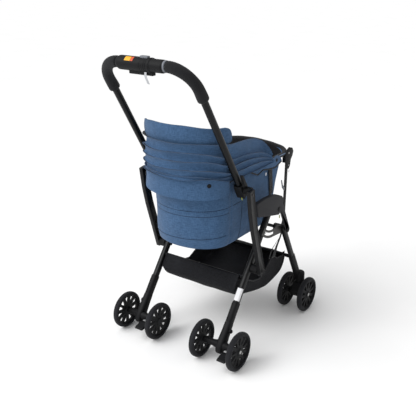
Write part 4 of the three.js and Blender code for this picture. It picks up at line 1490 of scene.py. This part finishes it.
def basket_wall(name, x, y_from, y_to):
    """A side wall that hangs between the crossbars and dips in the middle, with a bound edge."""
    side = 1 if x > 0 else -1
    loops = []
    edge_line = []
    for i in range(41):
        y = y_from + (y_to - y_from) * i / 40
        foot, top = along_points(BASKET_FLOOR, y) + 0.0085, along_points(BASKET_EDGE, y)
        outside = []
        for j in range(15):
            z = foot + (top - foot) * j / 14
            slack = 0.0025 * math.sin(math.pi * j / 14) + 0.0016 * noise.noise(Vector((x, y * 14, z * 14)))
            outside.append(Vector((x - side * slack, y, z)))
        loops.append(outside + [p - RIGHT * side * 0.0012 for p in reversed(outside)])
        edge_line.append(outside[-1])
    on_bars(skin(name, loops, [M["mesh"]], crease=75))
    on_bars(round_tube(name + "_binding", edge_line, 0.0024, M["binding"], 10, 0.003))


def basket():
    lo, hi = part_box("basket")
    rear_bar = middle("rear_crossbar")
    front_bar = middle("front_crossbar")
    half = hi.x - 0.001
    side_view = curved([
        Vector((0, rear_bar.y - 0.006, rear_bar.z + 0.007)), Vector((0, lo.y + 0.016, 0.246)),
        Vector((0, lo.y + 0.007, 0.226)), Vector((0, lo.y + 0.030, 0.200)), Vector((0, 0.003, 0.1785)),
        Vector((0, BASKET_SPLIT, 0.1525)), Vector((0, 0.166, 0.1490)), Vector((0, 0.243, 0.1660)),
        Vector((0, front_bar.y + 0.006, 0.200)), Vector((0, front_bar.y + 0.006, front_bar.z + 0.006))], 8)
    cut = 5 * 8  # the split is the sixth place, eight steps apart
    basket_floor("basket_rear", side_view[:cut + 1], half)
    basket_floor("basket_front", side_view[cut:], half)
    for hand, side in HANDS.items():
        wall = f"basket_wall_{hand}"
        basket_wall(wall + "_rear", side * half, -0.050, BASKET_SPLIT)
        basket_wall(wall + "_front", side * half, BASKET_SPLIT, 0.268)


# ---- floor, light and camera ----
CAMERA_TARGET = Vector((-0.03685, 0.03369, 0.46122))
CAMERA_AZIMUTH = 35.19
CAMERA_ELEVATION = 20.8
CAMERA_DISTANCE = 2.42372
CAMERA_LENS = 56.2


def camera():
    azimuth = math.radians(CAMERA_AZIMUTH)
    elevation = math.radians(CAMERA_ELEVATION)
    away = Vector((math.sin(azimuth) * math.cos(elevation), -math.cos(azimuth) * math.cos(elevation),
                   math.sin(elevation)))
    lens = bpy.data.cameras.new("camera")
    lens.lens = CAMERA_LENS
    lens.sensor_width = 36
    eye = linked("camera", lens)
    eye.location = CAMERA_TARGET + away * CAMERA_DISTANCE
    eye.rotation_euler = (-away).to_track_quat("-Z", "Y").to_euler()
    bpy.context.scene.camera = eye


def area_light(name, place, size, power):
    lamp = bpy.data.lights.new(name, "AREA")
    lamp.shape = "DISK"
    lamp.size = size
    lamp.energy = power
    holder = linked(name, lamp)
    holder.location = place
    holder.rotation_euler = (Vector((0, 0, 0.5)) - Vector(place)).to_track_quat("-Z", "Y").to_euler()


def studio():
    mesh = bpy.data.meshes.new("floor")
    reach = 60
    corners = [(-reach, -reach, 0), (reach, -reach, 0), (reach, reach, 0), (-reach, reach, 0)]
    mesh.from_pydata(corners, [], [(0, 1, 2, 3)])
    g = Graph("floor", {"Roughness": 1.0, "Specular IOR Level": 0.0})
    g.colour(g.ramp(g.grain(3), [(0.3, (0.90, 0.90, 0.90)), (0.7, (0.92, 0.92, 0.92))]))
    mesh.materials.append(g.material)
    floor = linked("floor", mesh)
    world = bpy.data.worlds.new("studio")
    world.use_nodes = True
    world.node_tree.nodes["Background"].inputs["Color"].default_value = (1, 1, 1, 1)
    world.node_tree.nodes["Background"].inputs["Strength"].default_value = 0.62
    bpy.context.scene.world = world
    sun = bpy.data.lights.new("overhead", "SUN")
    sun.energy = 1.9
    sun.angle = math.radians(50)
    holder = linked("overhead", sun)
    holder.rotation_euler = Vector((0.45, 0.62, -1.0)).to_track_quat("-Z", "Y").to_euler()
    area_light("key", (-1.1, -2.4, 2.2), 1.4, 26)
    bpy.context.scene.view_settings.view_transform = "Standard"


camera()
studio()
place_wheels()
chassis()
handle_tubes()
release_unit()
handle_joints()
seat_frame()
cabin()
cabin_seams()
rim()
hood_folds()
flap()
visor()
FLAP_PLAN = (0.160, HOOD_REAR + 0.002, 0.130)
snap("flap_snap_right", FLAP_PLAN, -35, 0.646, 0.0072, "seat", 0.0022)
snap("flap_snap_left", FLAP_PLAN, -144.5, 0.642, 0.0072, "seat", 0.0022)
VISOR_PLAN = (high("hood_visor").x, low("hood_visor").y, 0.122)
snap("visor_snap", VISOR_PLAN, -31, 0.797, 0.0080, "canopy_front", 0.0034)
snap("visor_rivet", VISOR_PLAN, -2, 0.812, 0.0026, "canopy_front", 0.0034)
basket()
for hand, side in HANDS.items():
    side_strip(hand, side)
    corner_fittings(hand, side)
    links_and_marks(hand, side)
